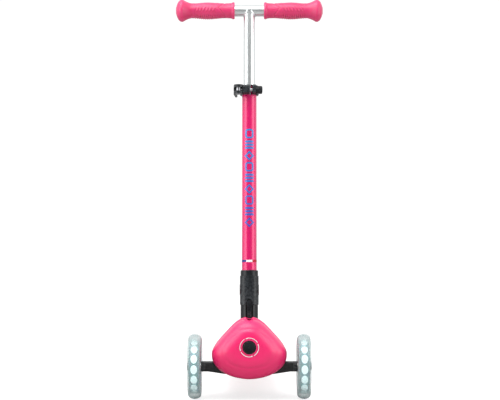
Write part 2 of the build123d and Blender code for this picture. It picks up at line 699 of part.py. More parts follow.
def tube_bush():
    """Slit plastic bush that the upper tube slides in."""
    bore = UPPER_TUBE_R + RUN_FIT
    body = pipe(LOWER_TUBE_BORE_R, bore, LOWER_TUBE_TO - 40, LOWER_TUBE_TO)
    body += pipe(LOWER_TUBE_R, bore, LOWER_TUBE_TO, LOWER_TUBE_TO + 2.5)
    return STEM * (body - slit(2.0, LOWER_TUBE_TO - 18, LOWER_TUBE_TO + 5))


CLAMP = STEM * Location((0, 0, CLAMP_S), (0, 0, CLAMP_TWIST_DEG))
CLAMP_R = 18.0
BOLT_Y = -22.0
BOLT_R = 3.0
EAR_HALF = 9.0
EAR_GAP = 5.4
CAM_X = -23.8
CAM_R = 8.8
BARREL_R = 4.5
LEVER_HALF = 8.8
NUT_R = 7.6
NUT_FROM = 11.2
NUT_TO = 21.3


def clamp_collar():
    """Split ring with two ears in front, round the top of the lower tube."""
    ring = rod(CLAMP_R, -CLAMP_BELOW, CLAMP_ABOVE)
    ring = chamfer(ring.edges(), 1.0)
    ears = block((-EAR_HALF, EAR_HALF), (BOLT_Y - 6.0, -12.0), (1.0 - CLAMP_BELOW, CLAMP_ABOVE - 1.0))
    ears = fillet(ears.edges().filter_by(Axis.X).group_by(Axis.Y)[0], 4.5)
    collar = ring + ears
    collar -= block((-EAR_GAP / 2, EAR_GAP / 2), (-40, -8), (-20, 20))
    collar -= rod(LOWER_TUBE_R, -20, 20)
    collar -= Pos(0, BOLT_Y, 0) * along_x(rod(BOLT_R, -20, 20))
    return CLAMP * collar


def clamp_bolt():
    """Cross bolt from the lever's barrel to the thumb nut."""
    return CLAMP * Pos(0, BOLT_Y, 0) * along_x(rod(BOLT_R, CAM_X - 3.4, NUT_TO - 2.0))


def clamp_barrel():
    """Cross-drilled pivot pin that the lever turns on."""
    barrel = rod(BARREL_R, -LEVER_HALF - 0.4, LEVER_HALF + 0.4) - along_x(rod(BOLT_R, -3.4, 10))
    return CLAMP * Pos(CAM_X, BOLT_Y, 0) * barrel


def cam_washer():
    """Saddle washer that the lever's cam slides on."""
    saddle = block((CAM_X + 3, -EAR_HALF), (BOLT_Y - 6.0, BOLT_Y + 4.0), (-7, 7))
    saddle = fillet(saddle.edges().filter_by(Axis.X), 2.5)
    saddle -= Pos(CAM_X, BOLT_Y, 0) * rod(CAM_R + 0.35, -10, 10)
    saddle -= Pos(0, BOLT_Y, 0) * along_x(rod(BOLT_R, -30, 0))
    return CLAMP * saddle


def clamp_nut():
    """Knurled thumb nut on the bolt's right end, with a plain collar."""
    nut = rod(NUT_R, NUT_FROM, NUT_TO)
    nut = chamfer(nut.edges().group_by(Axis.Z)[-1], 0.8)
    for number in range(18):
        nut -= Rot(0, 0, number * 20) * Pos(NUT_R + 0.2, 0, 0) * rod(0.7, NUT_FROM + 2, NUT_TO + 1)
    nut += rod(5.6, EAR_HALF, NUT_FROM)
    nut -= rod(BOLT_R, EAR_HALF - 1, NUT_TO - 2.0)
    return CLAMP * Pos(0, BOLT_Y, 0) * along_x(nut)


def clamp_lever():
    """Quick-release lever: a forked cam on the barrel and a curved blade along the tube's left."""
    outer = Spline((-CAM_R + 0.4, -1.0), (-7.6, 14.0), (-3.2, 32.0), (-1.0, 44.0))
    inner = Spline((3.0, 44.0), (1.2, 28.0), (0.6, 14.0), (4.0, 6.0))
    tip = ThreePointArc(outer @ 1, ((outer @ 1) + (inner @ 0)) / 2 + Vector(0, 2.0), inner @ 0)
    blade = make_face(Wire([outer, tip, inner, Line(inner @ 1, outer @ 0)]))
    lever = Pos(0, 0, -LEVER_HALF + 1) * extrude(blade, 2 * LEVER_HALF - 2)
    lever += rod(CAM_R, -LEVER_HALF, LEVER_HALF)
    lever -= block((-12, 12), (-12, BOLT_R + 0.4), (-BOLT_R - 0.4, BOLT_R + 0.4))
    lever -= rod(BARREL_R + RUN_FIT, -20, 20)
    return CLAMP * Pos(CAM_X, BOLT_Y, 0) * lever


BAND_LOW = 52.0
BAND_HEIGHT = 4.2
DECAL_THICKNESS = 0.15


def colour_band():
    """Thin printed band near the foot of the lower tube."""
    return STEM * pipe(LOWER_TUBE_R + DECAL_THICKNESS, LOWER_TUBE_R, BAND_LOW, BAND_LOW + BAND_HEIGHT)


GRAPHIC_LOW = 116.5
GRAPHIC_HIGH = 307.0
GRAPHIC_STEPS = 9
GRAPHIC_LINE = 3.2          # width of the printed strokes


def graphic_motif(number, height):
    """One plain outlined motif of the tube's printed pattern, centred on the origin."""
    tall = height * 0.86
    kind = number % 3
    if kind == 0:
        side = tall * 0.74
        return Rot(0, 0, 45) * (
            Rectangle(side, side) - Rectangle(side - 2 * GRAPHIC_LINE, side - 2 * GRAPHIC_LINE)
        )
    if kind == 1:
        bars = [Pos(0, step * tall / 3) * SlotOverall(17.0, GRAPHIC_LINE * 1.3) for step in (-1, 0, 1)]
        return bars[0] + bars[1] + bars[2]
    return (
        RectangleRounded(16.0, tall, 5.0)
        - RectangleRounded(16.0 - 2 * GRAPHIC_LINE, tall - 2 * GRAPHIC_LINE, 2.0)
    )


def stem_graphic():
    """Printed column of lozenges, bars and rounded frames on the front of the lower tube."""
    pitch = (GRAPHIC_HIGH - GRAPHIC_LOW) / GRAPHIC_STEPS
    skin = pipe(LOWER_TUBE_R + DECAL_THICKNESS, LOWER_TUBE_R, GRAPHIC_LOW - 1, GRAPHIC_HIGH + 1)
    motifs = []
    for number in range(GRAPHIC_STEPS):
        flat = Pos(0, GRAPHIC_LOW + pitch * (number + 0.5)) * graphic_motif(number, pitch)
        motifs.append(STEM * (extrude(Plane.XZ * flat, 30.0) & skin))
    return merged(motifs)


# ---------------------------------------------------------------- handlebar

def crossbar():
    """Silver cross tube."""
    return STEM * Pos(0, 0, CROSSBAR_S) * along_x(pipe(UPPER_TUBE_R, UPPER_TUBE_BORE_R, -BAR_HALF, BAR_HALF))


def upper_tube():
    """Silver upright, coped to the cross tube and drilled behind for the snap button."""
    body = pipe(UPPER_TUBE_R, UPPER_TUBE_BORE_R, UPPER_TUBE_FROM, CROSSBAR_S)
    body -= Pos(0, 0, CROSSBAR_S) * along_x(rod(UPPER_TUBE_R, -30, 30))
    body -= Pos(0, 0, NOTCH_S) * along_y(rod(SNAP_R + RUN_FIT, 5, 20))
    return STEM * body


def weld_bead():
    """Fillet weld where the upright meets the cross tube."""
    swell = UPPER_TUBE_R + 1.1
    upright = rod(swell, -20, 0.6)
    cross = along_x(rod(swell, -20, 20))
    bead = upright & cross
    bead -= rod(UPPER_TUBE_R, -30, 30)
    bead -= along_x(rod(UPPER_TUBE_R, -30, 30))
    return STEM * Pos(0, 0, CROSSBAR_S) * bead


SNAP_R = 4.4
SNAP_FACE = 11.4


def height_button():
    """Snap button, drawn back inside the tubes, with a collar that keeps it in."""
    button = rod(SNAP_R, 3.0, SNAP_FACE)
    button = chamfer(button.edges().group_by(Axis.Z)[-1], 0.6)
    button += rod(5.6, 2.0, 3.4)
    return STEM * Pos(0, 0, NOTCH_S) * along_y(button)


def height_spring():
    """Spring behind the snap button, seated on the front of the tube's bore."""
    return STEM * Pos(0, -9.0, NOTCH_S) * along_y(coil(3.2, 0.5, 10.9, 5))


def tube_end_bush():
    """Plug on the foot of the upper tube that guides it in the lower tube."""
    body = rod(LOWER_TUBE_BORE_R - 0.08, UPPER_TUBE_FROM - 12, UPPER_TUBE_FROM)
    body += rod(UPPER_TUBE_BORE_R, UPPER_TUBE_FROM, UPPER_TUBE_FROM + 8)
    body -= rod(6.5, UPPER_TUBE_FROM - 13, UPPER_TUBE_FROM + 9)
    return STEM * body


def grip():
    """Right-hand grip: a barrel that swells in the middle, an inner lip and a closed flange."""
    outline = [
        Line((GRIP_FROM, UPPER_TUBE_R), (GRIP_FROM, 15.0)),
        Spline((GRIP_FROM, 15.0), (GRIP_FROM + 2.8, 16.5), (GRIP_FROM + 5.8, 15.0), tangents=[(0, 1), (0.5, -1)]),
        Spline((GRIP_FROM + 5.8, 15.0), (49.0, 14.3), (80.0, 16.5), (111.0, 14.4), (121.0, 17.6), (129.5, 21.5),
               tangents=[(0.5, -0.5), (1, 0.3)]),
        Spline((129.5, 21.5), (136.0, 18.0), (139.6, 12.0), (GRIP_TO, 5.0), tangents=[(1, 0), (0.1, -1)]),
        Line((GRIP_TO, 5.0), (GRIP_TO, 0)),
        Line((GRIP_TO, 0), (BAR_HALF, 0)),
        Line((BAR_HALF, 0), (BAR_HALF, UPPER_TUBE_R)),
        Line((BAR_HALF, UPPER_TUBE_R), (GRIP_FROM, UPPER_TUBE_R)),
    ]
    return revolve(make_face(Wire(outline)), Axis.X)


def place_grip(side):
    """A grip in its place on the cross tube."""
    shape = grip() if side > 0 else mirror(grip(), about=Plane.YZ)
    return STEM * Pos(0, 0, CROSSBAR_S) * shape


# ---------------------------------------------------------------- rear wheel and brake

REAR = Location((0, REAR_Y, REAR_WHEEL_R), (0, 90, 0))
REAR_CORE_R = 31.0


def rear_core():
    """Moulded core with five round windows."""
    core = pipe(REAR_CORE_R, 26.0, -10.5, 10.5) + pipe(26.5, 14.0, -2.5, 2.5) + pipe(15.0, BEARING_R, -12.0, 12.0)
    core += pipe(15.0, BEARING_R - 1.5, -4.8, 4.8)
    for number in range(5):
        core -= Rot(0, 0, number * 72) * Pos(20.6, 0, 0) * rod(3.8, -5, 5)
    return REAR * core


def rear_axle():
    """Through bolt with a domed head."""
    head = rod(7.0, -FORK_OUT - 4.0, -FORK_OUT)
    head = fillet(head.edges().group_by(Axis.Z)[0], 1.5)
    return REAR * (head + rod(AXLE_R, -FORK_OUT, FORK_OUT + 6.0))


def rear_axle_nut():
    """Lock nut on the through bolt."""
    return REAR * (hexagon(13.0, FORK_OUT, FORK_OUT + 6.0) - rod(AXLE_R, FORK_OUT - 1, FORK_OUT + 7))


def rear_spacers():
    """Two spacers between the fork and the bearings."""
    one = pipe(6.5, AXLE_R, 12.1, FORK_IN)
    return merged([REAR * one, REAR * mirror(one, about=Plane.XY)])


def fender_profile():
    """Side view of the fender: a band over the wheel and an arm to the pin, in Y and Z."""
    front_deg = 118.0
    band = Circle(FENDER_R) - Circle(FENDER_R - 3.5)
    spread = math.radians((FENDER_TAIL_DEG + front_deg) / 2)
    reach = 90.0
    wedge = Polyline(
        (0, 0),
        (reach * math.cos(math.radians(FENDER_TAIL_DEG)), reach * math.sin(math.radians(FENDER_TAIL_DEG))),
        (2 * reach * math.cos(spread), 2 * reach * math.sin(spread)),
        (reach * math.cos(math.radians(front_deg)), reach * math.sin(math.radians(front_deg))),
        close=True,
    )
    band = Pos(REAR_Y, REAR_WHEEL_R) * (band & make_face(wedge))
    corner = math.radians(front_deg - 3.0)
    end = Vector(
        REAR_Y + (FENDER_R - 1.75) * math.cos(corner),
        REAR_WHEEL_R + (FENDER_R - 1.75) * math.sin(corner),
    )
    pin = Vector(BRAKE_PIN_Y, BRAKE_PIN_Z)
    span = end - pin
    middle = (end + pin) / 2
    arm = (
        Pos(middle.X, middle.Y) * Rot(0, 0, math.degrees(math.atan2(span.Y, span.X))) * Rectangle(span.length, 3.5)
    )
    return band + arm, Pos(pin.X, pin.Y) * Circle(5.6)


def brake_fender():
    """Spring-loaded fender brake, pressed with the heel."""
    wide, hub = fender_profile()
    half = FORK_IN - 1.2
    fender = extrude(Plane.YZ * wide, half, both=True)
    clear = Pos(0, BRAKE_PIN_Y, BRAKE_PIN_Z) * along_x(pipe(9.0, 0.5, -20, 20))
    fender -= clear - block((-8, 8), (BRAKE_PIN_Y - 12, BRAKE_PIN_Y + 12), (BRAKE_PIN_Z - 12, BRAKE_PIN_Z + 12))
    fender += extrude(Plane.YZ * hub, 8.0, both=True)
    fender -= Pos(0, BRAKE_PIN_Y, BRAKE_PIN_Z) * along_x(rod(BRAKE_PIN_R + RUN_FIT, -20, 20))
    return fender


def brake_pin():
    """Pin across the fork that the fender turns on."""
    return Pos(0, BRAKE_PIN_Y, BRAKE_PIN_Z) * along_x(rod(BRAKE_PIN_R, -FORK_OUT - 0.5, FORK_OUT + 0.5))


def brake_spring():
    """Torsion spring coils on the brake pin, one each side of the fender's hub."""
    place = Pos(0, BRAKE_PIN_Y, BRAKE_PIN_Z)
    right = place * Pos(9.2, 0, 0) * along_x(coil(3.9, 0.7, 5.2, 3))
    return merged([right, place * Pos(-14.4, 0, 0) * along_x(coil(3.9, 0.7, 5.2, 3))])


# ---------------------------------------------------------------- all the pieces

def sub_parts():
    """Every piece by its name."""
    pieces = {
        "deck_board": deck_board(),
        "deck_grip_pad": deck_grip_pad(),
        "nose_cover": nose_cover(),
        "nose_screws": nose_screws(),
        "nose_ring": nose_ring(),
        "lock_guide": lock_guide(),
        "lock_button": lock_button(),
        "lock_spring": lock_spring(),
        "hinge_base": hinge_base(),
        "hinge_base_screws": hinge_base_screws(),
        "fold_button": fold_button(),
        "fold_button_spring": fold_button_spring(),
        "kingpin": kingpin(),
        "kingpin_nut": kingpin_nut(),
        "axle_beam": axle_beam(),
        "beam_bush": beam_bush(),
        "wheel_spacers": wheel_spacers(),
        "axle_bolts": axle_bolts(),
        "steering_springs": steering_springs(),
        "hinge_sleeve": hinge_sleeve(),
        "sleeve_screws": sleeve_screws(),
        "hinge_pin": hinge_pin(),
        "lower_tube": lower_tube(),
        "tube_bush": tube_bush(),
        "colour_band": colour_band(),
        "stem_graphic": stem_graphic(),
        "clamp_collar": clamp_collar(),
        "clamp_bolt": clamp_bolt(),
        "clamp_barrel": clamp_barrel(),
        "cam_washer": cam_washer(),
        "clamp_nut": clamp_nut(),
        "clamp_lever": clamp_lever(),
        "upper_tube": upper_tube(),
        "crossbar": crossbar(),
        "weld_bead": weld_bead(),
        "height_button": height_button(),
        "height_spring": height_spring(),
        "tube_end_bush": tube_end_bush(),
        "rear_tyre": REAR * tyre(REAR_WHEEL_R, REAR_CORE_R, REAR_TYRE_WIDTH),
        "rear_core": rear_core(),
        "rear_bearings": REAR * bearing_pair(12.0),
        "rear_axle": rear_axle(),
        "rear_axle_nut": rear_axle_nut(),
        "rear_spacers": rear_spacers(),
        "brake_fender": brake_fender(),
        "brake_pin": brake_pin(),
        "brake_spring": brake_spring(),
    }
    for name, side in (("left", -1), ("right", 1)):
        place = wheel_place(side)
        pieces["tyre_" + name] = place * tyre(FRONT_WHEEL_R, CORE_R, TYRE_WIDTH)
        pieces["wheel_core_" + name] = place * front_core()
        pieces["led_board_" + name] = place * led_board()
        pieces["bearings_" + name] = place * bearing_pair(10.5)
        pieces["hub_cap_" + name] = place * hub_cap()
        pieces["grip_" + name] = place_grip(side)
    return pieces


os.makedirs("parts", exist_ok=True)
for node, shape in sub_parts().items():
    export_step(shape, "parts/" + node + ".step")
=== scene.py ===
import json
import math

import bmesh
import bpy
from mathutils import Matrix, Vector
from mathutils.bvhtree import BVHTree


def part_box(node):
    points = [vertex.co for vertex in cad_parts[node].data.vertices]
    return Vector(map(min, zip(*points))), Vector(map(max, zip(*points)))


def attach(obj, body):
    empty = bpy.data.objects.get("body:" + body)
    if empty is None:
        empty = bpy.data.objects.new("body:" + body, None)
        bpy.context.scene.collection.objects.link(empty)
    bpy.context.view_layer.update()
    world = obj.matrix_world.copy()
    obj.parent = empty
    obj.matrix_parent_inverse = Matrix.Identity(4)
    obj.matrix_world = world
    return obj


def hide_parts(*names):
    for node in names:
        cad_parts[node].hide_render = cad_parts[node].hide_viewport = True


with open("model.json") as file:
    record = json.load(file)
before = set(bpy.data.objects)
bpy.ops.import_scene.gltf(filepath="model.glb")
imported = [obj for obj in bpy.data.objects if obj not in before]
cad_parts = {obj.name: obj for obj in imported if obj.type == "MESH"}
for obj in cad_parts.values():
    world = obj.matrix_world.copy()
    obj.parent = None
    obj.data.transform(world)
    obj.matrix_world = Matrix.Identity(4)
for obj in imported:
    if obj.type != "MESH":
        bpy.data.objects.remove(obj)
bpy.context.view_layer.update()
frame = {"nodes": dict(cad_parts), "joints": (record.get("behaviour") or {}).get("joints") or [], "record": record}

# A child's three-wheeled kick scooter. Metres, +Z up, front towards -Y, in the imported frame.

MM = 0.001
NODES = frame["nodes"]
JOINTS = {joint["name"]: joint for joint in frame["joints"]}
SLOT_OF = {part["node"]: part["material_slot"] for part in frame["record"]["subparts"]}


def middle(node):
    """Centre of a CAD node's box."""
    low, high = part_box(node)
    return (low + high) / 2


def axes_matrix(origin, x_axis, y_axis, z_axis):
    """Matrix of a frame given by its origin and its three axes."""
    rotation = Matrix((x_axis, y_axis, z_axis)).transposed().to_4x4()
    return Matrix.Translation(origin) @ rotation


# The stem's own frame: on the hinge pin, X across, Y backwards, Z up along the tube
HINGE = Vector(JOINTS["fold"]["pos_m"])
STEM_UP = Vector(JOINTS["height"]["axis"]).normalized()
ACROSS = Vector((1, 0, 0))
STEM = axes_matrix(HINGE, ACROSS, STEM_UP.cross(ACROSS), STEM_UP)
BAR = STEM @ Matrix.Translation((0, 0, (middle("crossbar") - HINGE).dot(STEM_UP)))
LEFT_AXLE = Vector(JOINTS["wheel_left_spin"]["pos_m"])
RIGHT_AXLE = Vector(JOINTS["wheel_right_spin"]["pos_m"])
REAR_AXLE = Vector(JOINTS["wheel_rear_spin"]["pos_m"])
FRONT_AXLE = (LEFT_AXLE + RIGHT_AXLE) / 2


# ---------------------------------------------------------------- material helpers

def srgb(red, green, blue, alpha=1.0):
    """Linear colour from screen values of 0 to 255."""
    def linear(value):
        value /= 255
        return value / 12.92 if value <= 0.04045 else ((value + 0.055) / 1.055) ** 2.4
    return (linear(red), linear(green), linear(blue), alpha)


def set_range(node, low, high, to_low, to_high):
    """Fill in a Map Range node's two ranges."""
    ends = {"From Min": low, "From Max": high, "To Min": to_low, "To Max": to_high}
    for socket, number in ends.items():
        node.inputs[socket].default_value = number


class Finish:
    """One procedural material: a Principled shader and short ways to add nodes before it."""

    def __init__(self, name, colour, roughness, metallic=0.0):
        self.material = bpy.data.materials.new(name)
        self.material.use_nodes = True
        self.nodes = self.material.node_tree.nodes
        self.links = self.material.node_tree.links
        self.shader = self.nodes["Principled BSDF"]
        self.set("Base Color", colour)
        self.set("Roughness", roughness)
        self.set("Metallic", metallic)
        self.place = self.nodes.new("ShaderNodeTexCoord").outputs["Object"]

    def set(self, socket, value):
        """Set one of the shader's own sockets."""
        self.shader.inputs[socket].default_value = value

    def link(self, output, socket):
        """Lead a node's output into one of the shader's sockets."""
        self.links.new(output, self.shader.inputs[socket])

    def noise(self, scale, detail=3.0, stretch=(1, 1, 1)):
        """Noise in the object's own space, with scale in features for each metre."""
        mapping = self.nodes.new("ShaderNodeMapping")
        mapping.inputs["Scale"].default_value = stretch
        self.links.new(self.place, mapping.inputs["Vector"])
        noise = self.nodes.new("ShaderNodeTexNoise")
        noise.inputs["Scale"].default_value = scale
        noise.inputs["Detail"].default_value = detail
        self.links.new(mapping.outputs["Vector"], noise.inputs["Vector"])
        return noise.outputs["Fac"]

    def cells(self, scale):
        """Voronoi distance in the object's own space."""
        cells = self.nodes.new("ShaderNodeTexVoronoi")
        cells.inputs["Scale"].default_value = scale
        self.links.new(self.place, cells.inputs["Vector"])
        return cells.outputs["Distance"]

    def math(self, operation, first, second=0.0):
        """One arithmetic node; each input is a number or an output."""
        node = self.nodes.new("ShaderNodeMath")
        node.operation = operation
        for socket, value in zip(node.inputs, (first, second)):
            if isinstance(value, (int, float)):
                socket.default_value = value
            else:
                self.links.new(value, socket)
        return node.outputs["Value"]

    def remap(self, value, low, high, to_low, to_high):
        """Stretch a range of values onto another, clamped."""
        node = self.nodes.new("ShaderNodeMapRange")
        set_range(node, low, high, to_low, to_high)
        self.links.new(value, node.inputs["Value"])
        return node.outputs["Result"]

    def mix(self, factor, first, second):
        """Mix two colours; each is a colour or an output."""
        node = self.nodes.new("ShaderNodeMix")
        node.data_type = "RGBA"
        self.links.new(factor, node.inputs["Factor"])
        for name, value in (("A", first), ("B", second)):
            socket = next(s for s in node.inputs if s.name == name and s.type == "RGBA")
            if isinstance(value, tuple):
                socket.default_value = value
            else:
                self.links.new(value, socket)
        return next(s for s in node.outputs if s.type == "RGBA")

    def axis(self, name):
        """One coordinate of the object's own space."""
        split = self.nodes.new("ShaderNodeSeparateXYZ")
        self.links.new(self.place, split.inputs["Vector"])
        return split.outputs[name]

    def distance(self, centre, axes):
        """Distance from a centre, measured along some of the axes."""
        total = None
        for name in axes:
            offset = self.math("SUBTRACT", self.axis(name), centre["XYZ".index(name)])
            square = self.math("MULTIPLY", offset, offset)
            total = square if total is None else self.math("ADD", total, square)
        return self.math("SQRT", total)

    def bump(self, heights, distance, strength=1.0, edge_round=0.0):
        """Bump from a height output, over rounded edges; distance is the full depth in metres."""
        node = self.nodes.new("ShaderNodeBump")
        node.inputs["Distance"].default_value = distance
        node.inputs["Strength"].default_value = strength
        self.links.new(heights, node.inputs["Height"])
        if edge_round:
            bevel = self.nodes.new("ShaderNodeBevel")
            bevel.inputs["Radius"].default_value = edge_round
            self.links.new(bevel.outputs["Normal"], node.inputs["Normal"])
        self.link(node.outputs["Normal"], "Normal")

    def pointiness(self):
        """How convex the surface is: about 0.5 where it's flat, more along its edges."""
        return self.nodes.new("ShaderNodeNewGeometry").outputs["Pointiness"]

    def worn_edges(self, colour, worn, high, strength):
        """Lighter colour along convex edges, broken up by noise."""
        mask = self.remap(self.pointiness(), EDGE_START, high, 0.0, strength)
        patchy = self.math("MULTIPLY", mask, self.remap(self.noise(260, 4), 0.40, 0.62, 0.1, 1.0))
        return self.mix(patchy, colour, worn)


# ---------------------------------------------------------------- materials

EDGE_ROUND = 0.5 * MM       # soft edges of moulded and coated pieces
EDGE_START = 0.53           # pointiness from which an edge is worn


def pink_plastic():
    """Satin-gloss moulded shell: slight flow mottling, a fine skin, paler edges and a soft clear coat."""
    finish = Finish("pink_plastic", srgb(246, 1, 104), 0.45)
    mottle = finish.remap(finish.noise(14, 2), 0.35, 0.65, 0, 1)
    base = finish.mix(mottle, srgb(243, 0, 102), srgb(249, 2, 107))
    finish.link(finish.worn_edges(base, srgb(244, 90, 150), 0.62, 0.3), "Base Color")
    finish.link(finish.remap(finish.noise(46, 4), 0.3, 0.7, 0.42, 0.5), "Roughness")
    finish.bump(finish.noise(900, 2), 0.04 * MM, 0.3)
    finish.set("Specular IOR Level", 0.12)
    finish.set("Coat Weight", 0.9)
    finish.set("Coat IOR", 1.7)
    finish.set("Coat Roughness", 0.37)
    return finish.material


def pink_anodised():
    """Anodised and lacquered tube: tinted metal under a clear coat, brushed along the tube."""
    finish = Finish("pink_anodised", srgb(222, 4, 100), 0.34, 0.2)
    brushing = finish.noise(60, 4, (22, 22, 1.2))
    tone = finish.remap(brushing, 0.35, 0.65, 0, 1)
    finish.link(finish.mix(tone, srgb(220, 3, 98), srgb(228, 7, 106)), "Base Color")
    finish.set("Specular IOR Level", 0.3)
    finish.link(finish.remap(brushing, 0.3, 0.7, 0.27, 0.37), "Roughness")
    finish.bump(brushing, 0.02 * MM, 0.2)
    finish.set("Coat Weight", 0.9)
    finish.set("Coat Roughness", 0.08)
    return finish.material


def silver_aluminium():
    """Clear-anodised aluminium with faint drawing lines."""
    finish = Finish("silver_aluminium", srgb(226, 230, 230), 0.33, 1.0)
    lines = finish.noise(55, 4, (18, 18, 1.0))
    tone = finish.remap(lines, 0.3, 0.7, 0, 1)
    finish.link(finish.mix(tone, srgb(218, 223, 223), srgb(232, 236, 236)), "Base Color")
    finish.link(finish.remap(lines, 0.3, 0.7, 0.29, 0.36), "Roughness")
    finish.bump(lines, 0.008 * MM, 0.2)
    return finish.material


def grip_rubber():
    """Soft pink rubber: satin skin with a fine pebble, with painted shade darkening its hollows."""
    finish = Finish("grip_rubber", srgb(226, 44, 110), 0.5)
    # Painted shade: the skin's concave hollows are darkened by their pointiness, standing in for the shade that
    # falls in them.
    shade = finish.remap(finish.pointiness(), 0.46, 0.53, 0.0, 1.0)
    base = finish.mix(shade, srgb(186, 14, 76), srgb(226, 44, 110))
    bloom = finish.remap(finish.noise(30, 3), 0.35, 0.7, 0, 0.3)
    finish.link(finish.mix(bloom, base, srgb(232, 66, 126)), "Base Color")
    finish.link(finish.remap(finish.noise(80, 3), 0.3, 0.7, 0.42, 0.56), "Roughness")
    finish.bump(finish.cells(1500), 0.09 * MM, 0.4)
    finish.set("Subsurface Weight", 0.12)
    finish.set("Subsurface Scale", 0.004)
    finish.set("Coat Weight", 0.5)
    finish.set("Coat Roughness", 0.28)
    return finish.material


def pad_rubber():
    """Charcoal deck rubber with a leathery skin and pale dust in places."""
    finish = Finish("pad_rubber", srgb(38, 39, 42), 0.7)
    dust = finish.remap(finish.noise(24, 5), 0.48, 0.72, 0, 0.35)
    finish.link(finish.mix(dust, srgb(36, 37, 40), srgb(92, 90, 88)), "Base Color")
    finish.link(finish.remap(finish.noise(50, 3), 0.3, 0.7, 0.6, 0.82), "Roughness")
    finish.bump(finish.cells(900), 0.1 * MM, 0.5)
    return finish.material


def black_plastic():
    """Glass-filled nylon: spark-eroded grain, dark blue-grey, slightly worn edges."""
    finish = Finish("black_plastic", srgb(16, 19, 23), 0.3)
    mottle = finish.remap(finish.noise(40, 3), 0.35, 0.65, 0, 1)
    base = finish.mix(mottle, srgb(11, 15, 19), srgb(20, 24, 28))
    finish.link(finish.worn_edges(base, srgb(84, 90, 94), 0.61, 0.4), "Base Color")
    finish.link(finish.remap(finish.noise(120, 3), 0.3, 0.7, 0.25, 0.38), "Roughness")
    finish.bump(finish.noise(1400, 3), 0.05 * MM, 0.4, EDGE_ROUND)
    finish.set("Specular IOR Level", 0.36)
    return finish.material


def black_metal():
    """Powder-coated cast aluminium with a light orange-peel surface."""
    finish = Finish("black_metal", srgb(17, 17, 18), 0.42)
    mottle = finish.remap(finish.noise(60, 4), 0.35, 0.65, 0, 1)
    base = finish.mix(mottle, srgb(13, 13, 14), srgb(24, 24, 25))
    finish.link(finish.worn_edges(base, srgb(100, 100, 102), 0.61, 0.45), "Base Color")
    finish.link(finish.remap(finish.noise(150, 3), 0.3, 0.7, 0.34, 0.5), "Roughness")
    finish.bump(finish.noise(700, 2), 0.15 * MM, 0.5, EDGE_ROUND)
    return finish.material


def white_plastic():
    """Printed white lacquer."""
    finish = Finish("white_plastic", srgb(244, 240, 242), 0.35)
    tone = finish.remap(finish.noise(90, 3), 0.35, 0.65, 0, 1)
    finish.link(finish.mix(tone, srgb(238, 232, 235), srgb(248, 245, 246)), "Base Color")
    finish.bump(finish.noise(1200, 2), 0.03 * MM, 0.3)
    return finish.material


def decal_blue():
    """Printed ink, brighter at the head of the pattern and deeper at its foot."""
    finish = Finish("decal_blue", srgb(36, 112, 190), 0.4)
    low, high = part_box("stem_graphic")
    along = finish.remap(finish.axis("Z"), low.z, high.z, 0, 1)
    base = finish.mix(along, srgb(58, 70, 176), srgb(28, 128, 200))
    speckle = finish.remap(finish.noise(420, 2), 0.42, 0.6, 0, 0.35)
    finish.link(finish.mix(speckle, base, srgb(86, 92, 190)), "Base Color")
    finish.set("Coat Weight", 0.6)
    finish.set("Coat Roughness", 0.15)
    return finish.material


BAND_WHITE = 0.42           # share of the tube's half width that is white


def decal_band():
    """Three-colour printed band: blue to the left, white in the middle, red to the right."""
    finish = Finish("decal_band", srgb(240, 240, 244), 0.4)
    white_half = BAND_WHITE * (middle("lower_tube").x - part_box("lower_tube")[0].x)
    across = finish.axis("X")
    right = finish.math("GREATER_THAN", across, white_half)
    left = finish.math("LESS_THAN", across, -white_half)
    white_and_red = finish.mix(right, srgb(246, 244, 248), srgb(178, 8, 30))
    finish.link(finish.mix(left, white_and_red, srgb(40, 52, 130)), "Base Color")
    finish.link(finish.remap(finish.noise(300, 2), 0.3, 0.7, 0.34, 0.48), "Roughness")
    finish.set("Specular IOR Level", 0.3)
    return finish.material


def clear_tyre():
    """Water-clear polyurethane, a little milky, with a fine cast skin."""
    finish = Finish("clear_tyre", srgb(168, 184, 184), 0.2)
    haze = finish.remap(finish.noise(70, 3), 0.35, 0.65, 0, 1)
    finish.link(finish.mix(haze, srgb(160, 178, 179), srgb(178, 193, 192)), "Base Color")
    finish.link(finish.remap(finish.noise(160, 3), 0.3, 0.7, 0.14, 0.28), "Roughness")
    finish.bump(finish.noise(500, 2), 0.1 * MM, 0.25)
    facing = finish.nodes.new("ShaderNodeLayerWeight")
    facing.inputs["Blend"].default_value = 0.35
    finish.link(finish.remap(facing.outputs["Facing"], 0.0, 0.75, 0.16, 0.90), "Alpha")
    finish.set("IOR", 1.45)
    return finish.material


def wheel_core():
    """Pale translucent moulding of the wheel's core, greyer towards the hub."""
    finish = Finish("wheel_core", srgb(140, 168, 172), 0.4)
    outward = finish.remap(finish.distance(FRONT_AXLE, "YZ"), 18 * MM, 46 * MM, 0, 1)
    finish.link(finish.mix(outward, srgb(112, 122, 124), srgb(160, 196, 201)), "Base Color")
    finish.link(finish.remap(finish.noise(120, 3), 0.3, 0.7, 0.34, 0.48), "Roughness")
    finish.set("Subsurface Weight", 0.3)
    finish.set("Subsurface Scale", 0.006)
    return finish.material


def cells_painted_glow():
    """Frosted lamp lens with a painted glow: emission that keeps it bright inside the clear tyre."""
    finish = Finish("cells_painted_glow", srgb(240, 252, 252), 0.3)
    frost = finish.remap(finish.noise(200, 2), 0.3, 0.7, 0, 1)
    finish.link(finish.mix(frost, srgb(232, 250, 250), srgb(248, 255, 255)), "Base Color")
    # Painted glow: the lens shines by emission because lamp light reaches it inside the clear tyre only through
    # refraction.
    finish.set("Emission Color", srgb(226, 250, 250))
    finish.set("Emission Strength", 0.8)
    return finish.material


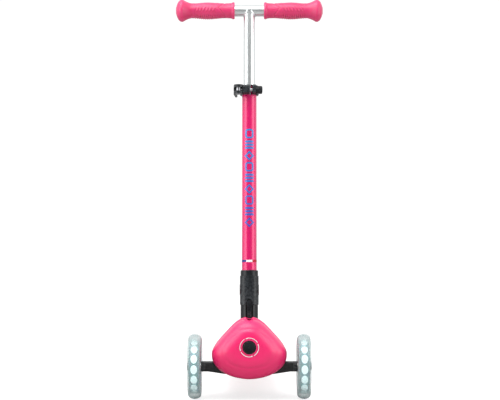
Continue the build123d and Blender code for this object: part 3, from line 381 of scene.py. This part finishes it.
def circuit_board():
    """White board with tracks and tinned pads."""
    finish = Finish("circuit_board", srgb(226, 230, 226), 0.45)
    tracks = finish.remap(finish.cells(420), 0.28, 0.34, 1, 0)
    base = finish.mix(tracks, srgb(212, 217, 213), srgb(234, 238, 234))
    pads = finish.remap(finish.noise(380, 0), 0.60, 0.64, 0, 1)
    finish.link(finish.mix(pads, base, srgb(176, 172, 150)), "Base Color")
    finish.bump(tracks, 0.05 * MM, 0.5)
    return finish.material


def steel():
    """Zinc-plated steel, slightly uneven."""
    finish = Finish("steel", srgb(176, 178, 182), 0.32, 1.0)
    patches = finish.remap(finish.noise(240, 4), 0.35, 0.65, 0, 1)
    finish.link(finish.mix(patches, srgb(150, 152, 158), srgb(190, 191, 194)), "Base Color")
    finish.link(finish.remap(finish.noise(400, 3), 0.3, 0.7, 0.24, 0.44), "Roughness")
    finish.bump(finish.noise(900, 2), 0.05 * MM, 0.3)
    return finish.material


SLOT_FINISHES = (
    pink_plastic, pink_anodised, silver_aluminium, grip_rubber, pad_rubber, black_plastic, black_metal,
    white_plastic, decal_blue, decal_band, clear_tyre, wheel_core, circuit_board, steel,
)
FINISHES = {finish.__name__: finish() for finish in SLOT_FINISHES}
CELLS_PAINTED_GLOW = cells_painted_glow()


# ---------------------------------------------------------------- mesh helpers

def circle_points(count):
    """Cosine and sine of evenly spaced angles."""
    return [(math.cos(2 * math.pi * n / count), math.sin(2 * math.pi * n / count)) for n in range(count)]


def smooth_value(points, x):
    """Height of a smooth curve through points sorted by x."""
    if x <= points[0][0]:
        return points[0][1]
    for number in range(len(points) - 1):
        (x0, y0), (x1, y1) = points[number], points[number + 1]
        if x <= x1:
            break
    else:
        return points[-1][1]
    before = points[max(number - 1, 0)]
    after = points[min(number + 2, len(points) - 1)]
    span = x1 - x0
    slope0 = (y1 - before[1]) / (x1 - before[0]) * span
    slope1 = (after[1] - y0) / (after[0] - x0) * span
    t = (x - x0) / span
    return ((2 * t**3 - 3 * t**2 + 1) * y0 + (t**3 - 2 * t**2 + t) * slope0
            + (3 * t**2 - 2 * t**3) * y1 + (t**3 - t**2) * slope1)


def bell(x, centre, width):
    """A smooth bump of height 1."""
    return math.exp(-((x - centre) / width) ** 2)


def ramp(x, low, high):
    """Smooth step from 0 to 1."""
    t = min(1.0, max(0.0, (x - low) / (high - low)))
    return t * t * (3 - 2 * t)


def ring_faces(rings, count, closed=False):
    """Quads between rings of points; closed also joins the last ring to the first."""
    faces = []
    for ring in range(rings if closed else rings - 1):
        following = (ring + 1) % rings
        for number in range(count):
            turn = (number + 1) % count
            faces.append((ring * count + number, ring * count + turn,
                          following * count + turn, following * count + number))
    return faces


def make_piece(name, points, faces, slot, body, replaced, sharp_deg, material=None):
    """A finished mesh piece that rides on a body, in its slot's finish or a material of its own."""
    mesh = bpy.data.meshes.new(name)
    mesh.from_pydata([tuple(point) for point in points], [], faces)
    work = bmesh.new()
    work.from_mesh(mesh)
    bmesh.ops.recalc_face_normals(work, faces=work.faces)
    work.to_mesh(mesh)
    work.free()
    mesh.materials.append(material or FINISHES[slot])
    mesh.shade_smooth()
    mesh.set_sharp_from_angle(angle=math.radians(sharp_deg))
    piece = bpy.data.objects.new(name, mesh)
    bpy.context.scene.collection.objects.link(piece)
    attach(piece, body)
    if replaced:
        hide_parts(*replaced)
    return piece


def lathe(profile, place, count):
    """Points and faces of a closed profile of (along, radius) turned round a frame's X axis."""
    points = []
    for along, radius in profile:
        for c, s in circle_points(count):
            points.append(place @ Vector((along, radius * c, radius * s)))
    return points, ring_faces(len(profile), count, closed=True)


def moved_faces(faces, base):
    """Faces whose points come after the first base points of a mesh."""
    return [tuple(base + index for index in face) for face in faces]


# ---------------------------------------------------------------- grips

GRIP_SEGMENTS = 144
GRIP_STEP = 0.8 * MM
GRIP_BARREL = [             # share of the length, radius in millimetres
    (0.0, 15.2), (0.012, 16.2), (0.030, 16.4), (0.048, 15.4), (0.065, 14.8), (0.18, 14.3),
    (0.46, 16.4), (0.73, 14.4), (0.80, 16.4), (0.86, 19.6),
]
GRIP_END = [                # share of the length, share of the end flange's radius
    (0.893, 1.0), (0.925, 0.955), (0.955, 0.83), (0.98, 0.60), (0.995, 0.36), (1.0, 0.24),
]
GRIP_END_DIMPLE = 0.30      # share of the flange's radius
CLOSING_R = 0.2 * MM
BORE_PLUG = 3.0 * MM        # depth of the cone that closes the inner end
RIB_PITCH = 4.0 * MM
RIB_DEPTH = 0.7 * MM
RELIEF_PITCH = 6.2 * MM
RELIEF_DEPTH = 0.9 * MM
RELIEF_SLANT = 0.35
PANEL_HALF_HEIGHT = 0.28    # share of the radius, above and below the middle of the front
SEAM_DEPTH = 0.8 * MM
SEAM_LOW = 0.17             # place of the seam along the grip, away from its bulge
SEAM_BULGE = 0.10
SEAM_WIDTH = 0.012


def grip_relief(share, along, angle):
    """Extra radius of the skin: finger ribs below, slanted bars and a curved seam in front.

    Angle 0 faces forward, and a quarter turn is up.
    """
    finger_part = ramp(share, 0.26, 0.34) * (1 - ramp(share, 0.66, 0.74))
    underside = ramp(-math.sin(angle), 0.55, 0.80)
    ribs = RIB_DEPTH * finger_part * underside * math.cos(2 * math.pi * along / RIB_PITCH)
    if math.cos(angle) <= 0:
        return ribs
    height = math.sin(angle) / PANEL_HALF_HEIGHT
    bar_place = (along / RELIEF_PITCH + RELIEF_SLANT * height) % 1.0
    bars = ramp(0.30 - abs(bar_place - 0.5), 0.0, 0.10) * (1 - ramp(abs(height), 0.75, 1.0))
    in_panel = ramp(share, 0.30, 0.33) * (1 - ramp(share, 0.67, 0.70))
    relief = RELIEF_DEPTH * (bars - 0.5) * in_panel
    seam_place = SEAM_LOW + SEAM_BULGE * max(0.0, 1 - abs(angle - 0.2))
    return ribs + relief - SEAM_DEPTH * bell(share, seam_place, SEAM_WIDTH)


def grip(name, side):
    """Rubber grip: inner lip, swelling barrel with finger ribs and relief, wide domed end."""
    low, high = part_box(name)
    inner = min(abs(low.x), abs(high.x))
    length = max(abs(low.x), abs(high.x)) - inner
    flange = (high.z - low.z) / 2
    tube_low, tube_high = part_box("upper_tube")
    shape = [(share, radius * MM) for share, radius in GRIP_BARREL]
    shape += [(share, flange * part) for share, part in GRIP_END]
    steps = int(length / GRIP_STEP)
    rings = [(0.0, (tube_high.x - tube_low.x) / 2), (0.0, None)]
    rings += [((number + 0.5) / steps, None) for number in range(steps)]
    rings += [(1.0, flange * GRIP_END_DIMPLE), (1.0, CLOSING_R)]
    points = []
    for share, fixed in rings:
        along = share * length
        for c, s in circle_points(GRIP_SEGMENTS):
            radius = fixed
            if radius is None:
                skin = min(smooth_value(shape, share), flange)
                radius = min(skin + grip_relief(share, along, math.atan2(s, c)), flange)
            points.append(BAR @ Vector((side * (inner + along), -c * radius, s * radius)))
    faces = ring_faces(len(rings), GRIP_SEGMENTS)
    last = (len(rings) - 1) * GRIP_SEGMENTS
    faces.append([last + number for number in range(GRIP_SEGMENTS)])
    plug = len(points)
    points.append(BAR @ Vector((side * (inner + BORE_PLUG), 0, 0)))
    faces += [(number, (number + 1) % GRIP_SEGMENTS, plug) for number in range(GRIP_SEGMENTS)]
    return make_piece(name + "_rubber", points, faces, "grip_rubber", "t_bar", (name,), 60)


# ---------------------------------------------------------------- nose

NOSE_SPOKES = 192
NOSE_RINGS = 64
NOSE_WALL = 2.6 * MM
NOSE_SHARP_DEG = 38
RIM_ROLL = 0.9 * MM         # rounding of the shell's rim
RIM_ROLL_START = 0.965      # share of the way from the button to the rim
RIM_BLEND = (2 * MM, 14 * MM)       # distances from the rim over which the crease fades in
FIRST_RING = 1.12           # radius of the dome's first ring, against the button's opening
RAY_START = 0.5             # metres from the focus, well outside the nose
GROOVE_R = 7.0 * MM
GROOVE_Z = 154.5 * MM
GROOVE_BAR_LENGTH = 160 * MM
GROOVE_BAR_SEGMENTS = 64
CREASE_DEPTH = 1.0 * MM
CREASE_CHANNEL = 0.7        # share of the depth that is a channel along the oval
CREASE_STEP = 0.5           # share of the depth that the dome is set back outside the oval
CREASE_WIDTH = 0.07         # share of the oval's size
CREASE_HALF_WIDTH = 46.6 * MM
CREASE_HALF_HEIGHT = 35.5 * MM
CREASE_Z = 98.0 * MM
CREASE_TAPER = 0.16         # how much narrower the crease's oval gets towards its top
RIM_ANGLE = math.radians(89.3)      # last ray, just inside the parting plane
GROOVE_BRIDGE = math.radians(13.0)  # half of the stretch of rim that the groove cuts
HOLE_SHARE = 12.6 / 17.5            # the button's opening against the guide cup's flange


def outer_surface(node, focus):
    """Function giving the first point of a node's outside met on the way to a focus."""
    mesh = NODES[node].data
    tree = BVHTree.FromPolygons([v.co for v in mesh.vertices], [tuple(p.vertices) for p in mesh.polygons])

    def meet(direction):
        """The point met from outside, coming in against a direction."""
        return tree.ray_cast(focus + direction * RAY_START, -direction)[0]

    return meet


def nose_point(meet, spoke_angle, from_axis):
    """Point of the dome on a ray of given spoke angle and angle from the forward axis."""
    direction = Vector((
        math.sin(from_axis) * math.cos(spoke_angle),
        -math.cos(from_axis),
        math.sin(from_axis) * math.sin(spoke_angle),
    ))
    return meet(direction)


def nose_rows(focus, hole_radius):
    """Rows of points over the dome, from the button's hole out to the rim, with the groove bridged over."""
    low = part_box("nose_cover")[0]
    meet = outer_surface("nose_cover", focus)
    first = math.atan2(hole_radius * FIRST_RING, focus.y - low.y)
    rows = []
    for ring in range(NOSE_RINGS + 1):
        from_axis = first + (RIM_ANGLE - first) * ring / NOSE_RINGS
        near = nose_point(meet, math.pi / 2 - GROOVE_BRIDGE, from_axis)
        far = nose_point(meet, math.pi / 2 - GROOVE_BRIDGE * 1.5, from_axis)
        row = []
        for spoke in range(NOSE_SPOKES):
            spoke_angle = 2 * math.pi * spoke / NOSE_SPOKES
            off_top = math.remainder(spoke_angle - math.pi / 2, 2 * math.pi)
            if abs(off_top) < GROOVE_BRIDGE:
                row.append(bridged(near, far, -off_top / GROOVE_BRIDGE))
            else:
                row.append(nose_point(meet, spoke_angle, from_axis))
        rows.append(row)
    return rows


def bridged(near, far, share):
    """Point over the groove, on the parabola through two points beside it."""
    x = near.x * share
    fit = (near.x ** 2 - x ** 2) / (far.x ** 2 - near.x ** 2)
    return Vector((x, near.y - (far.y - near.y) * fit, near.z - (far.z - near.z) * fit))


def crease(point, rim_point):
    """How far the dome is set back at a point, by the oval crease round the button."""
    height = (point.z - CREASE_Z) / CREASE_HALF_HEIGHT
    share = math.hypot(point.x / CREASE_HALF_WIDTH / (1 - CREASE_TAPER * height), height)
    from_rim = math.hypot(point.x - rim_point.x, point.z - rim_point.z)
    outside = ramp(share, 1 - CREASE_WIDTH, 1 + CREASE_WIDTH) * ramp(from_rim, *RIM_BLEND)
    return CREASE_DEPTH * (CREASE_CHANNEL * bell(share, 1.0, CREASE_WIDTH) + CREASE_STEP * outside)


def hole_ring(radius, y, z):
    """Ring of points round the button's opening."""
    return [Vector((radius * c, y, z + radius * s)) for c, s in circle_points(NOSE_SPOKES)]


def under_skin(point, focus):
    """Point on the shell's inside, nearer the focus and not behind it."""
    moved = point + (focus - point).normalized() * NOSE_WALL
    moved.y = min(moved.y, focus.y)
    return moved


def nose_piece():
    """The nose as a closed shell with the thumb groove cut out of its top."""
    low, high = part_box("nose_cover")
    button = middle("lock_button")
    focus = Vector((0, high.y, button.z))
    hole_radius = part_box("lock_guide")[1].x * HOLE_SHARE
    rows = nose_rows(focus, hole_radius)
    outer = [hole_ring(hole_radius, low.y, button.z)]
    for ring in range(1, NOSE_RINGS + 1):
        roll = RIM_ROLL * ramp(ring / NOSE_RINGS, RIM_ROLL_START, 1.0)
        row = []
        for point, rim_point in zip(rows[ring], rows[-1]):
            point = Vector((point.x, point.y + crease(point, rim_point), point.z))
            inward = Vector((focus.x - point.x, 0, focus.z - point.z)).normalized()
            row.append(point + inward * roll)
        outer.append(row)
    for point in outer[-1]:
        point.y = high.y
    inner = [[under_skin(point, focus) for point in row] for row in outer]
    inner[0] = hole_ring(hole_radius, low.y + NOSE_WALL, button.z)
    loop = outer + inner[::-1]
    points = [point for row in loop for point in row]
    faces = ring_faces(len(loop), NOSE_SPOKES, closed=True)
    piece = make_piece("nose_shell", points, faces, "pink_plastic", "deck", ("nose_cover",), NOSE_SHARP_DEG)
    cut_groove(piece)
    return piece


def cut_groove(piece):
    """Cut the thumb groove with a round bar, then drop the bar."""
    bpy.ops.mesh.primitive_cylinder_add(
        vertices=GROOVE_BAR_SEGMENTS, radius=GROOVE_R, depth=GROOVE_BAR_LENGTH,
        location=(0, FRONT_AXLE.y, GROOVE_Z), rotation=(math.pi / 2, 0, 0),
    )
    bar = bpy.context.object
    cut = piece.modifiers.new("thumb_groove", "BOOLEAN")
    cut.operation = "DIFFERENCE"
    cut.solver = "EXACT"
    cut.object = bar
    bpy.context.view_layer.objects.active = piece
    bpy.ops.object.modifier_apply(modifier=cut.name)
    bpy.data.objects.remove(bar)
    piece.data.set_sharp_from_angle(angle=math.radians(NOSE_SHARP_DEG))


RING_ARCS = 4
RING_STEPS = 24
RING_TURN = math.radians(30.8)
RING_FILLED = 0.90          # share of each quarter that its arc covers
RING_WIDTH = 1.2 * MM
ARROW_WIDTH = 0.9 * MM


def ring_print():
    """Thin white ring round the lock button: four arcs with small arrowheads."""
    low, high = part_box("nose_ring")
    centre = middle("nose_ring")
    outer = (high.x - low.x) / 2
    points, faces = [], []
    sweep = 2 * math.pi / RING_ARCS * RING_FILLED
    for arc in range(RING_ARCS):
        start = 2 * math.pi * arc / RING_ARCS + RING_TURN
        base = len(points)
        for step in range(RING_STEPS + 1):
            share = step / RING_STEPS
            angle = start + sweep * share
            arrow = ARROW_WIDTH * ramp(share, 0.86, 0.90) * (1 - ramp(share, 0.90, 1.0))
            inner = outer - RING_WIDTH - arrow
            for r, y in ((inner, low.y), (outer, low.y), (outer, high.y), (inner, high.y)):
                points.append(centre + Vector((r * math.cos(angle), y - centre.y, r * math.sin(angle))))
        faces += moved_faces(ring_faces(RING_STEPS + 1, 4), base)
        faces += moved_faces(((0, 1, 2, 3), [RING_STEPS * 4 + corner for corner in range(4)]), base)
    return make_piece("nose_ring_print", points, faces, "white_plastic", "deck", ("nose_ring",), 30)


# ---------------------------------------------------------------- wheels

TYRE_SEGMENTS = 128
CROWN_STEPS = 28
CROWN_POWER = 0.9           # under 1 makes the crown a little squarer than an ellipse
TYRE_WALL = 1.2 * MM
TYRE_CHAMFER = 0.7 * MM
MOULD_LINE = 0.12 * MM
FRONT_BORE_R = 50.3 * MM
REAR_BORE_R = 31.0 * MM


def tyre_profile(half_width, outer, bore):
    """Round crown with a fine mould line, shoulders and a straight bore."""
    profile = []
    base = bore + TYRE_WALL
    for step in range(CROWN_STEPS + 1):
        angle = math.pi * step / CROWN_STEPS
        along = -half_width * math.cos(angle)
        swell = math.sin(angle) ** CROWN_POWER if 0 < step < CROWN_STEPS else 0.0
        line = MOULD_LINE * bell(along, 0, 0.5 * MM)
        profile.append((along, min(outer, base + (outer - base) * swell + line)))
    inside = half_width - TYRE_CHAMFER
    return profile + [(along, bore) for along in (inside, 0.0, -inside)]


def tyre(name, node, body, axle, bore):
    """One clear tyre round an axle."""
    low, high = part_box(node)
    profile = tyre_profile((high.x - low.x) / 2, (high.z - low.z) / 2, bore)
    points, faces = lathe(profile, Matrix.Translation(axle), TYRE_SEGMENTS)
    return make_piece(name, points, faces, "clear_tyre", body, (node,), 50)


CELL_COUNT = 16
CELL_SEGMENTS = 28
CELL_RINGS = 5
CELL_HALF_WIDTH = 6.2 * MM
CELL_HALF_LENGTH = 8.4 * MM
CELL_RADIUS = 50.28 * MM
CELL_CROWN = 0.2 * MM
CELL_DEPTH = 1.4 * MM


def lamp_cells(name, body, axle):
    """Oval lamp lenses round the rim, each a shallow dome with a flat back."""
    shares = [ring / CELL_RINGS for ring in range(CELL_RINGS + 1)]
    rings = [(share, CELL_RADIUS - CELL_CROWN * share ** 4) for share in shares]
    rings.append((1.0, CELL_RADIUS - CELL_DEPTH))
    last = (len(rings) - 1) * CELL_SEGMENTS
    cell_faces = ring_faces(len(rings), CELL_SEGMENTS)
    cell_faces += [[start + number for number in range(CELL_SEGMENTS)] for start in (0, last)]
    points, faces = [], []
    for cell in range(CELL_COUNT):
        turn = Matrix.Translation(axle) @ Matrix.Rotation(2 * math.pi * cell / CELL_COUNT, 4, "X")
        faces += moved_faces(cell_faces, len(points))
        for share, lift in rings:
            for c, s in circle_points(CELL_SEGMENTS):
                angle = CELL_HALF_LENGTH * share * s / CELL_RADIUS
                local = (CELL_HALF_WIDTH * share * c, -lift * math.cos(angle), lift * math.sin(angle))
                points.append(turn @ Vector(local))
    return make_piece(name, points, faces, "wheel_core", body, (), 50, CELLS_PAINTED_GLOW)


# ---------------------------------------------------------------- deck

PAD_DOT_PITCH = 9.0 * MM
PAD_DOT_R = 2.6 * MM
PAD_DOT_SEGMENTS = 10
PAD_DOT_PROFILE = [         # radius as a share, height over the pad's floor in millimetres
    (1.0, -0.2), (1.0, 0.3), (0.8, 0.6), (0.45, 0.7),
]
PAD_SEGMENTS = 180
PAD_BORDER = 9.5 * MM       # strip along the edge with no dots
PAD_EDGE = [                # inset from the outline, depth under the pad's highest point, in millimetres
    (0.0, 0.9), (0.35, 0.4), (1.0, 0.4), (4.0, 0.4), (4.4, 0.7), (5.0, 0.7),
]


def outline_reach(outline, centre, direction):
    """How far a convex outline reaches from its centre along a direction."""
    best = 1.0
    for number, start in enumerate(outline):
        edge = outline[(number + 1) % len(outline)] - start
        cross = direction.x * edge.y - direction.y * edge.x
        if abs(cross) < 1e-12:
            continue
        offset = start - centre
        length = (offset.x * edge.y - offset.y * edge.x) / cross
        share = (offset.x * direction.y - offset.y * direction.x) / cross
        if length > 0 and -1e-6 <= share <= 1 + 1e-6:
            best = min(best, length)
    return best


def pad_outline(centre):
    """Outline of the CAD pad's underside, sorted by angle round the centre."""
    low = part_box("deck_grip_pad")[0]
    foot = [v.co for v in NODES["deck_grip_pad"].data.vertices if v.co.z < low.z + 0.2 * MM]
    flat = {(round(p.x, 6), round(p.y, 6)) for p in foot}
    return [Vector(p) for p in sorted(flat, key=lambda p: math.atan2(p[1] - centre.y, p[0] - centre.x))]


def deck_pad():
    """Rubber sheet with the CAD pad's outline and a raised border, carrying rows of low dots."""
    low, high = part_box("deck_grip_pad")
    centre = middle("deck_grip_pad").xy
    outline = pad_outline(centre)
    rays = [Vector(ray) for ray in circle_points(PAD_SEGMENTS)]
    reach = [outline_reach(outline, centre, ray) for ray in rays]
    rings = [(0.0, low.z)] + [(inset * MM, high.z - depth * MM) for inset, depth in PAD_EDGE]
    points = []
    for inset, z in rings:
        for ray, length in zip(rays, reach):
            x, y = centre + ray * (length - inset)
            points.append(Vector((x, y, z)))
    faces = ring_faces(len(rings), PAD_SEGMENTS)
    last = (len(rings) - 1) * PAD_SEGMENTS
    faces += [[start + number for number in range(PAD_SEGMENTS)] for start in (0, last)]
    row_height = PAD_DOT_PITCH * math.sqrt(3) / 2
    columns = int((high.x - low.x) / PAD_DOT_PITCH) + 2
    for row in range(int((high.y - low.y) / row_height) + 1):
        for column in range(-columns, columns + 1):
            place = Vector(((column + 0.5 * (row % 2)) * PAD_DOT_PITCH, low.y + row * row_height))
            offset = place - centre
            ray = int(math.atan2(offset.y, offset.x) / (2 * math.pi) * PAD_SEGMENTS) % PAD_SEGMENTS
            if offset.length <= reach[ray] - PAD_BORDER:
                add_dot(points, faces, place.to_3d() + Vector((0, 0, rings[-1][1])))
    return make_piece("deck_pad_rubber", points, faces, "pad_rubber", "deck", ("deck_grip_pad",), 40)


def add_dot(points, faces, foot):
    """Append one low rounded dot that stands on the pad's floor."""
    dot_faces = ring_faces(len(PAD_DOT_PROFILE), PAD_DOT_SEGMENTS)
    last = (len(PAD_DOT_PROFILE) - 1) * PAD_DOT_SEGMENTS
    dot_faces += [[start + number for number in range(PAD_DOT_SEGMENTS)] for start in (0, last)]
    faces += moved_faces(dot_faces, len(points))
    for part, height in PAD_DOT_PROFILE:
        for c, s in circle_points(PAD_DOT_SEGMENTS):
            points.append(foot + Vector((PAD_DOT_R * part * c, PAD_DOT_R * part * s, height * MM)))


# ---------------------------------------------------------------- build

def finish_cad_nodes():
    """Give every CAD node the procedural finish of its slot."""
    for name, node in NODES.items():
        slot = SLOT_OF[name]
        node.data.materials.clear()
        node.data.materials.append(FINISHES[slot])


finish_cad_nodes()
for grip_node, grip_side in (("grip_left", -1), ("grip_right", 1)):
    grip(grip_node, grip_side)
nose_piece()
ring_print()
tyre("tyre_left_clear", "tyre_left", "wheel_left", LEFT_AXLE, FRONT_BORE_R)
tyre("tyre_right_clear", "tyre_right", "wheel_right", RIGHT_AXLE, FRONT_BORE_R)
tyre("rear_tyre_clear", "rear_tyre", "wheel_rear", REAR_AXLE, REAR_BORE_R)
lamp_cells("lamp_cells_left", "wheel_left", LEFT_AXLE)
lamp_cells("lamp_cells_right", "wheel_right", RIGHT_AXLE)
deck_pad()


# ---------------------------------------------------------------- studio

FLOOR_HALF = 30.0
FLOOR_TONE = (0.45, 0.45, 0.45, 1)
FLOOR_GLOW = 0.72           # keeps the floor near white to the camera under soft light
WHITE = (1, 1, 1, 1)
SKY_FRONT = 0.27            # strength of the surroundings in front of the scooter
SKY_ROUND = 0.95            # and round its sides and back
SKY_SEEN = 1.05             # and as the camera sees them
LIGHT_TARGET = (0, -0.1, 0.40)
SOFTBOXES = (               # name, place, width, height, radiance
    ("softbox_left", (-1.25, -0.78, 0.60), 1.0, 1.6, 2.1),
    ("softbox_right", (1.25, -0.78, 0.60), 1.0, 1.6, 1.85),
    ("softbox_top", (-0.35, -0.65, 1.75), 1.8, 1.1, 3.0),
)


def floor():
    """Large pale floor."""
    corners = [(x * FLOOR_HALF, y * FLOOR_HALF, 0) for x, y in ((-1, -1), (1, -1), (1, 1), (-1, 1))]
    mesh = bpy.data.meshes.new("floor")
    mesh.from_pydata(corners, [], [(0, 1, 2, 3)])
    paint = bpy.data.materials.new("floor")
    paint.use_nodes = True
    shader = paint.node_tree.nodes["Principled BSDF"]
    shader.inputs["Base Color"].default_value = FLOOR_TONE
    shader.inputs["Roughness"].default_value = 0.9
    shader.inputs["Specular IOR Level"].default_value = 0.0
    shader.inputs["Emission Color"].default_value = WHITE
    glow = paint.node_tree.nodes.new("ShaderNodeMath")
    glow.operation = "MULTIPLY"
    glow.inputs[1].default_value = FLOOR_GLOW
    seen = paint.node_tree.nodes.new("ShaderNodeLightPath").outputs["Is Camera Ray"]
    paint.node_tree.links.new(seen, glow.inputs[0])
    paint.node_tree.links.new(glow.outputs["Value"], shader.inputs["Emission Strength"])
    mesh.materials.append(paint)
    piece = bpy.data.objects.new("floor", mesh)
    bpy.context.scene.collection.objects.link(piece)


def softbox(name, place, width, height, radiance):
    """Rectangular area light of a given radiance, turned to the scooter."""
    light = bpy.data.lights.new(name, "AREA")
    light.shape = "RECTANGLE"
    light.size = width
    light.size_y = height
    light.energy = radiance * math.pi * width * height
    lamp = bpy.data.objects.new(name, light)
    lamp.location = place
    lamp.rotation_euler = (Vector(LIGHT_TARGET) - Vector(place)).to_track_quat("-Z", "Y").to_euler()
    bpy.context.scene.collection.objects.link(lamp)
    lamp.visible_camera = False


def studio_world():
    """White surroundings, dimmer towards the front so that round parts keep a dark middle."""
    world = bpy.data.worlds.new("studio")
    world.use_nodes = True
    nodes, links = world.node_tree.nodes, world.node_tree.links
    background = nodes["Background"]
    place = nodes.new("ShaderNodeTexCoord").outputs["Generated"]
    split = nodes.new("ShaderNodeSeparateXYZ")
    links.new(place, split.inputs["Vector"])
    shade = nodes.new("ShaderNodeMapRange")
    shade.interpolation_type = "SMOOTHSTEP"
    set_range(shade, -1.0, -0.35, SKY_FRONT, SKY_ROUND)
    links.new(split.outputs["Y"], shade.inputs["Value"])
    seen = nodes.new("ShaderNodeLightPath").outputs["Is Camera Ray"]
    strength = nodes.new("ShaderNodeMix")
    strength.data_type = "FLOAT"
    links.new(seen, strength.inputs["Factor"])
    links.new(shade.outputs["Result"], strength.inputs["A"])
    strength.inputs["B"].default_value = SKY_SEEN
    links.new(strength.outputs["Result"], background.inputs["Strength"])
    background.inputs["Color"].default_value = WHITE
    bpy.context.scene.world = world


CAMERA_DISTANCE = 2.4       # in front of the front axle
CAMERA_HEIGHT = 0.370
CAMERA_SIDE = 0.0013
FOCAL_LENGTH = 92.7
SENSOR_WIDTH = 36.0


def camera():
    """Level camera straight in front of the scooter."""
    lens = bpy.data.cameras.new("camera")
    lens.lens = FOCAL_LENGTH
    lens.sensor_width = SENSOR_WIDTH
    view = bpy.data.objects.new("camera", lens)
    view.location = (CAMERA_SIDE, FRONT_AXLE.y - CAMERA_DISTANCE, CAMERA_HEIGHT)
    view.rotation_euler = (math.pi / 2, 0, 0)
    bpy.context.scene.collection.objects.link(view)
    bpy.context.scene.camera = view


floor()
for box in SOFTBOXES:
    softbox(*box)
studio_world()
camera()

bpy.context.scene.view_settings.view_transform = "Standard"
bpy.context.scene.cycles.use_denoising = True
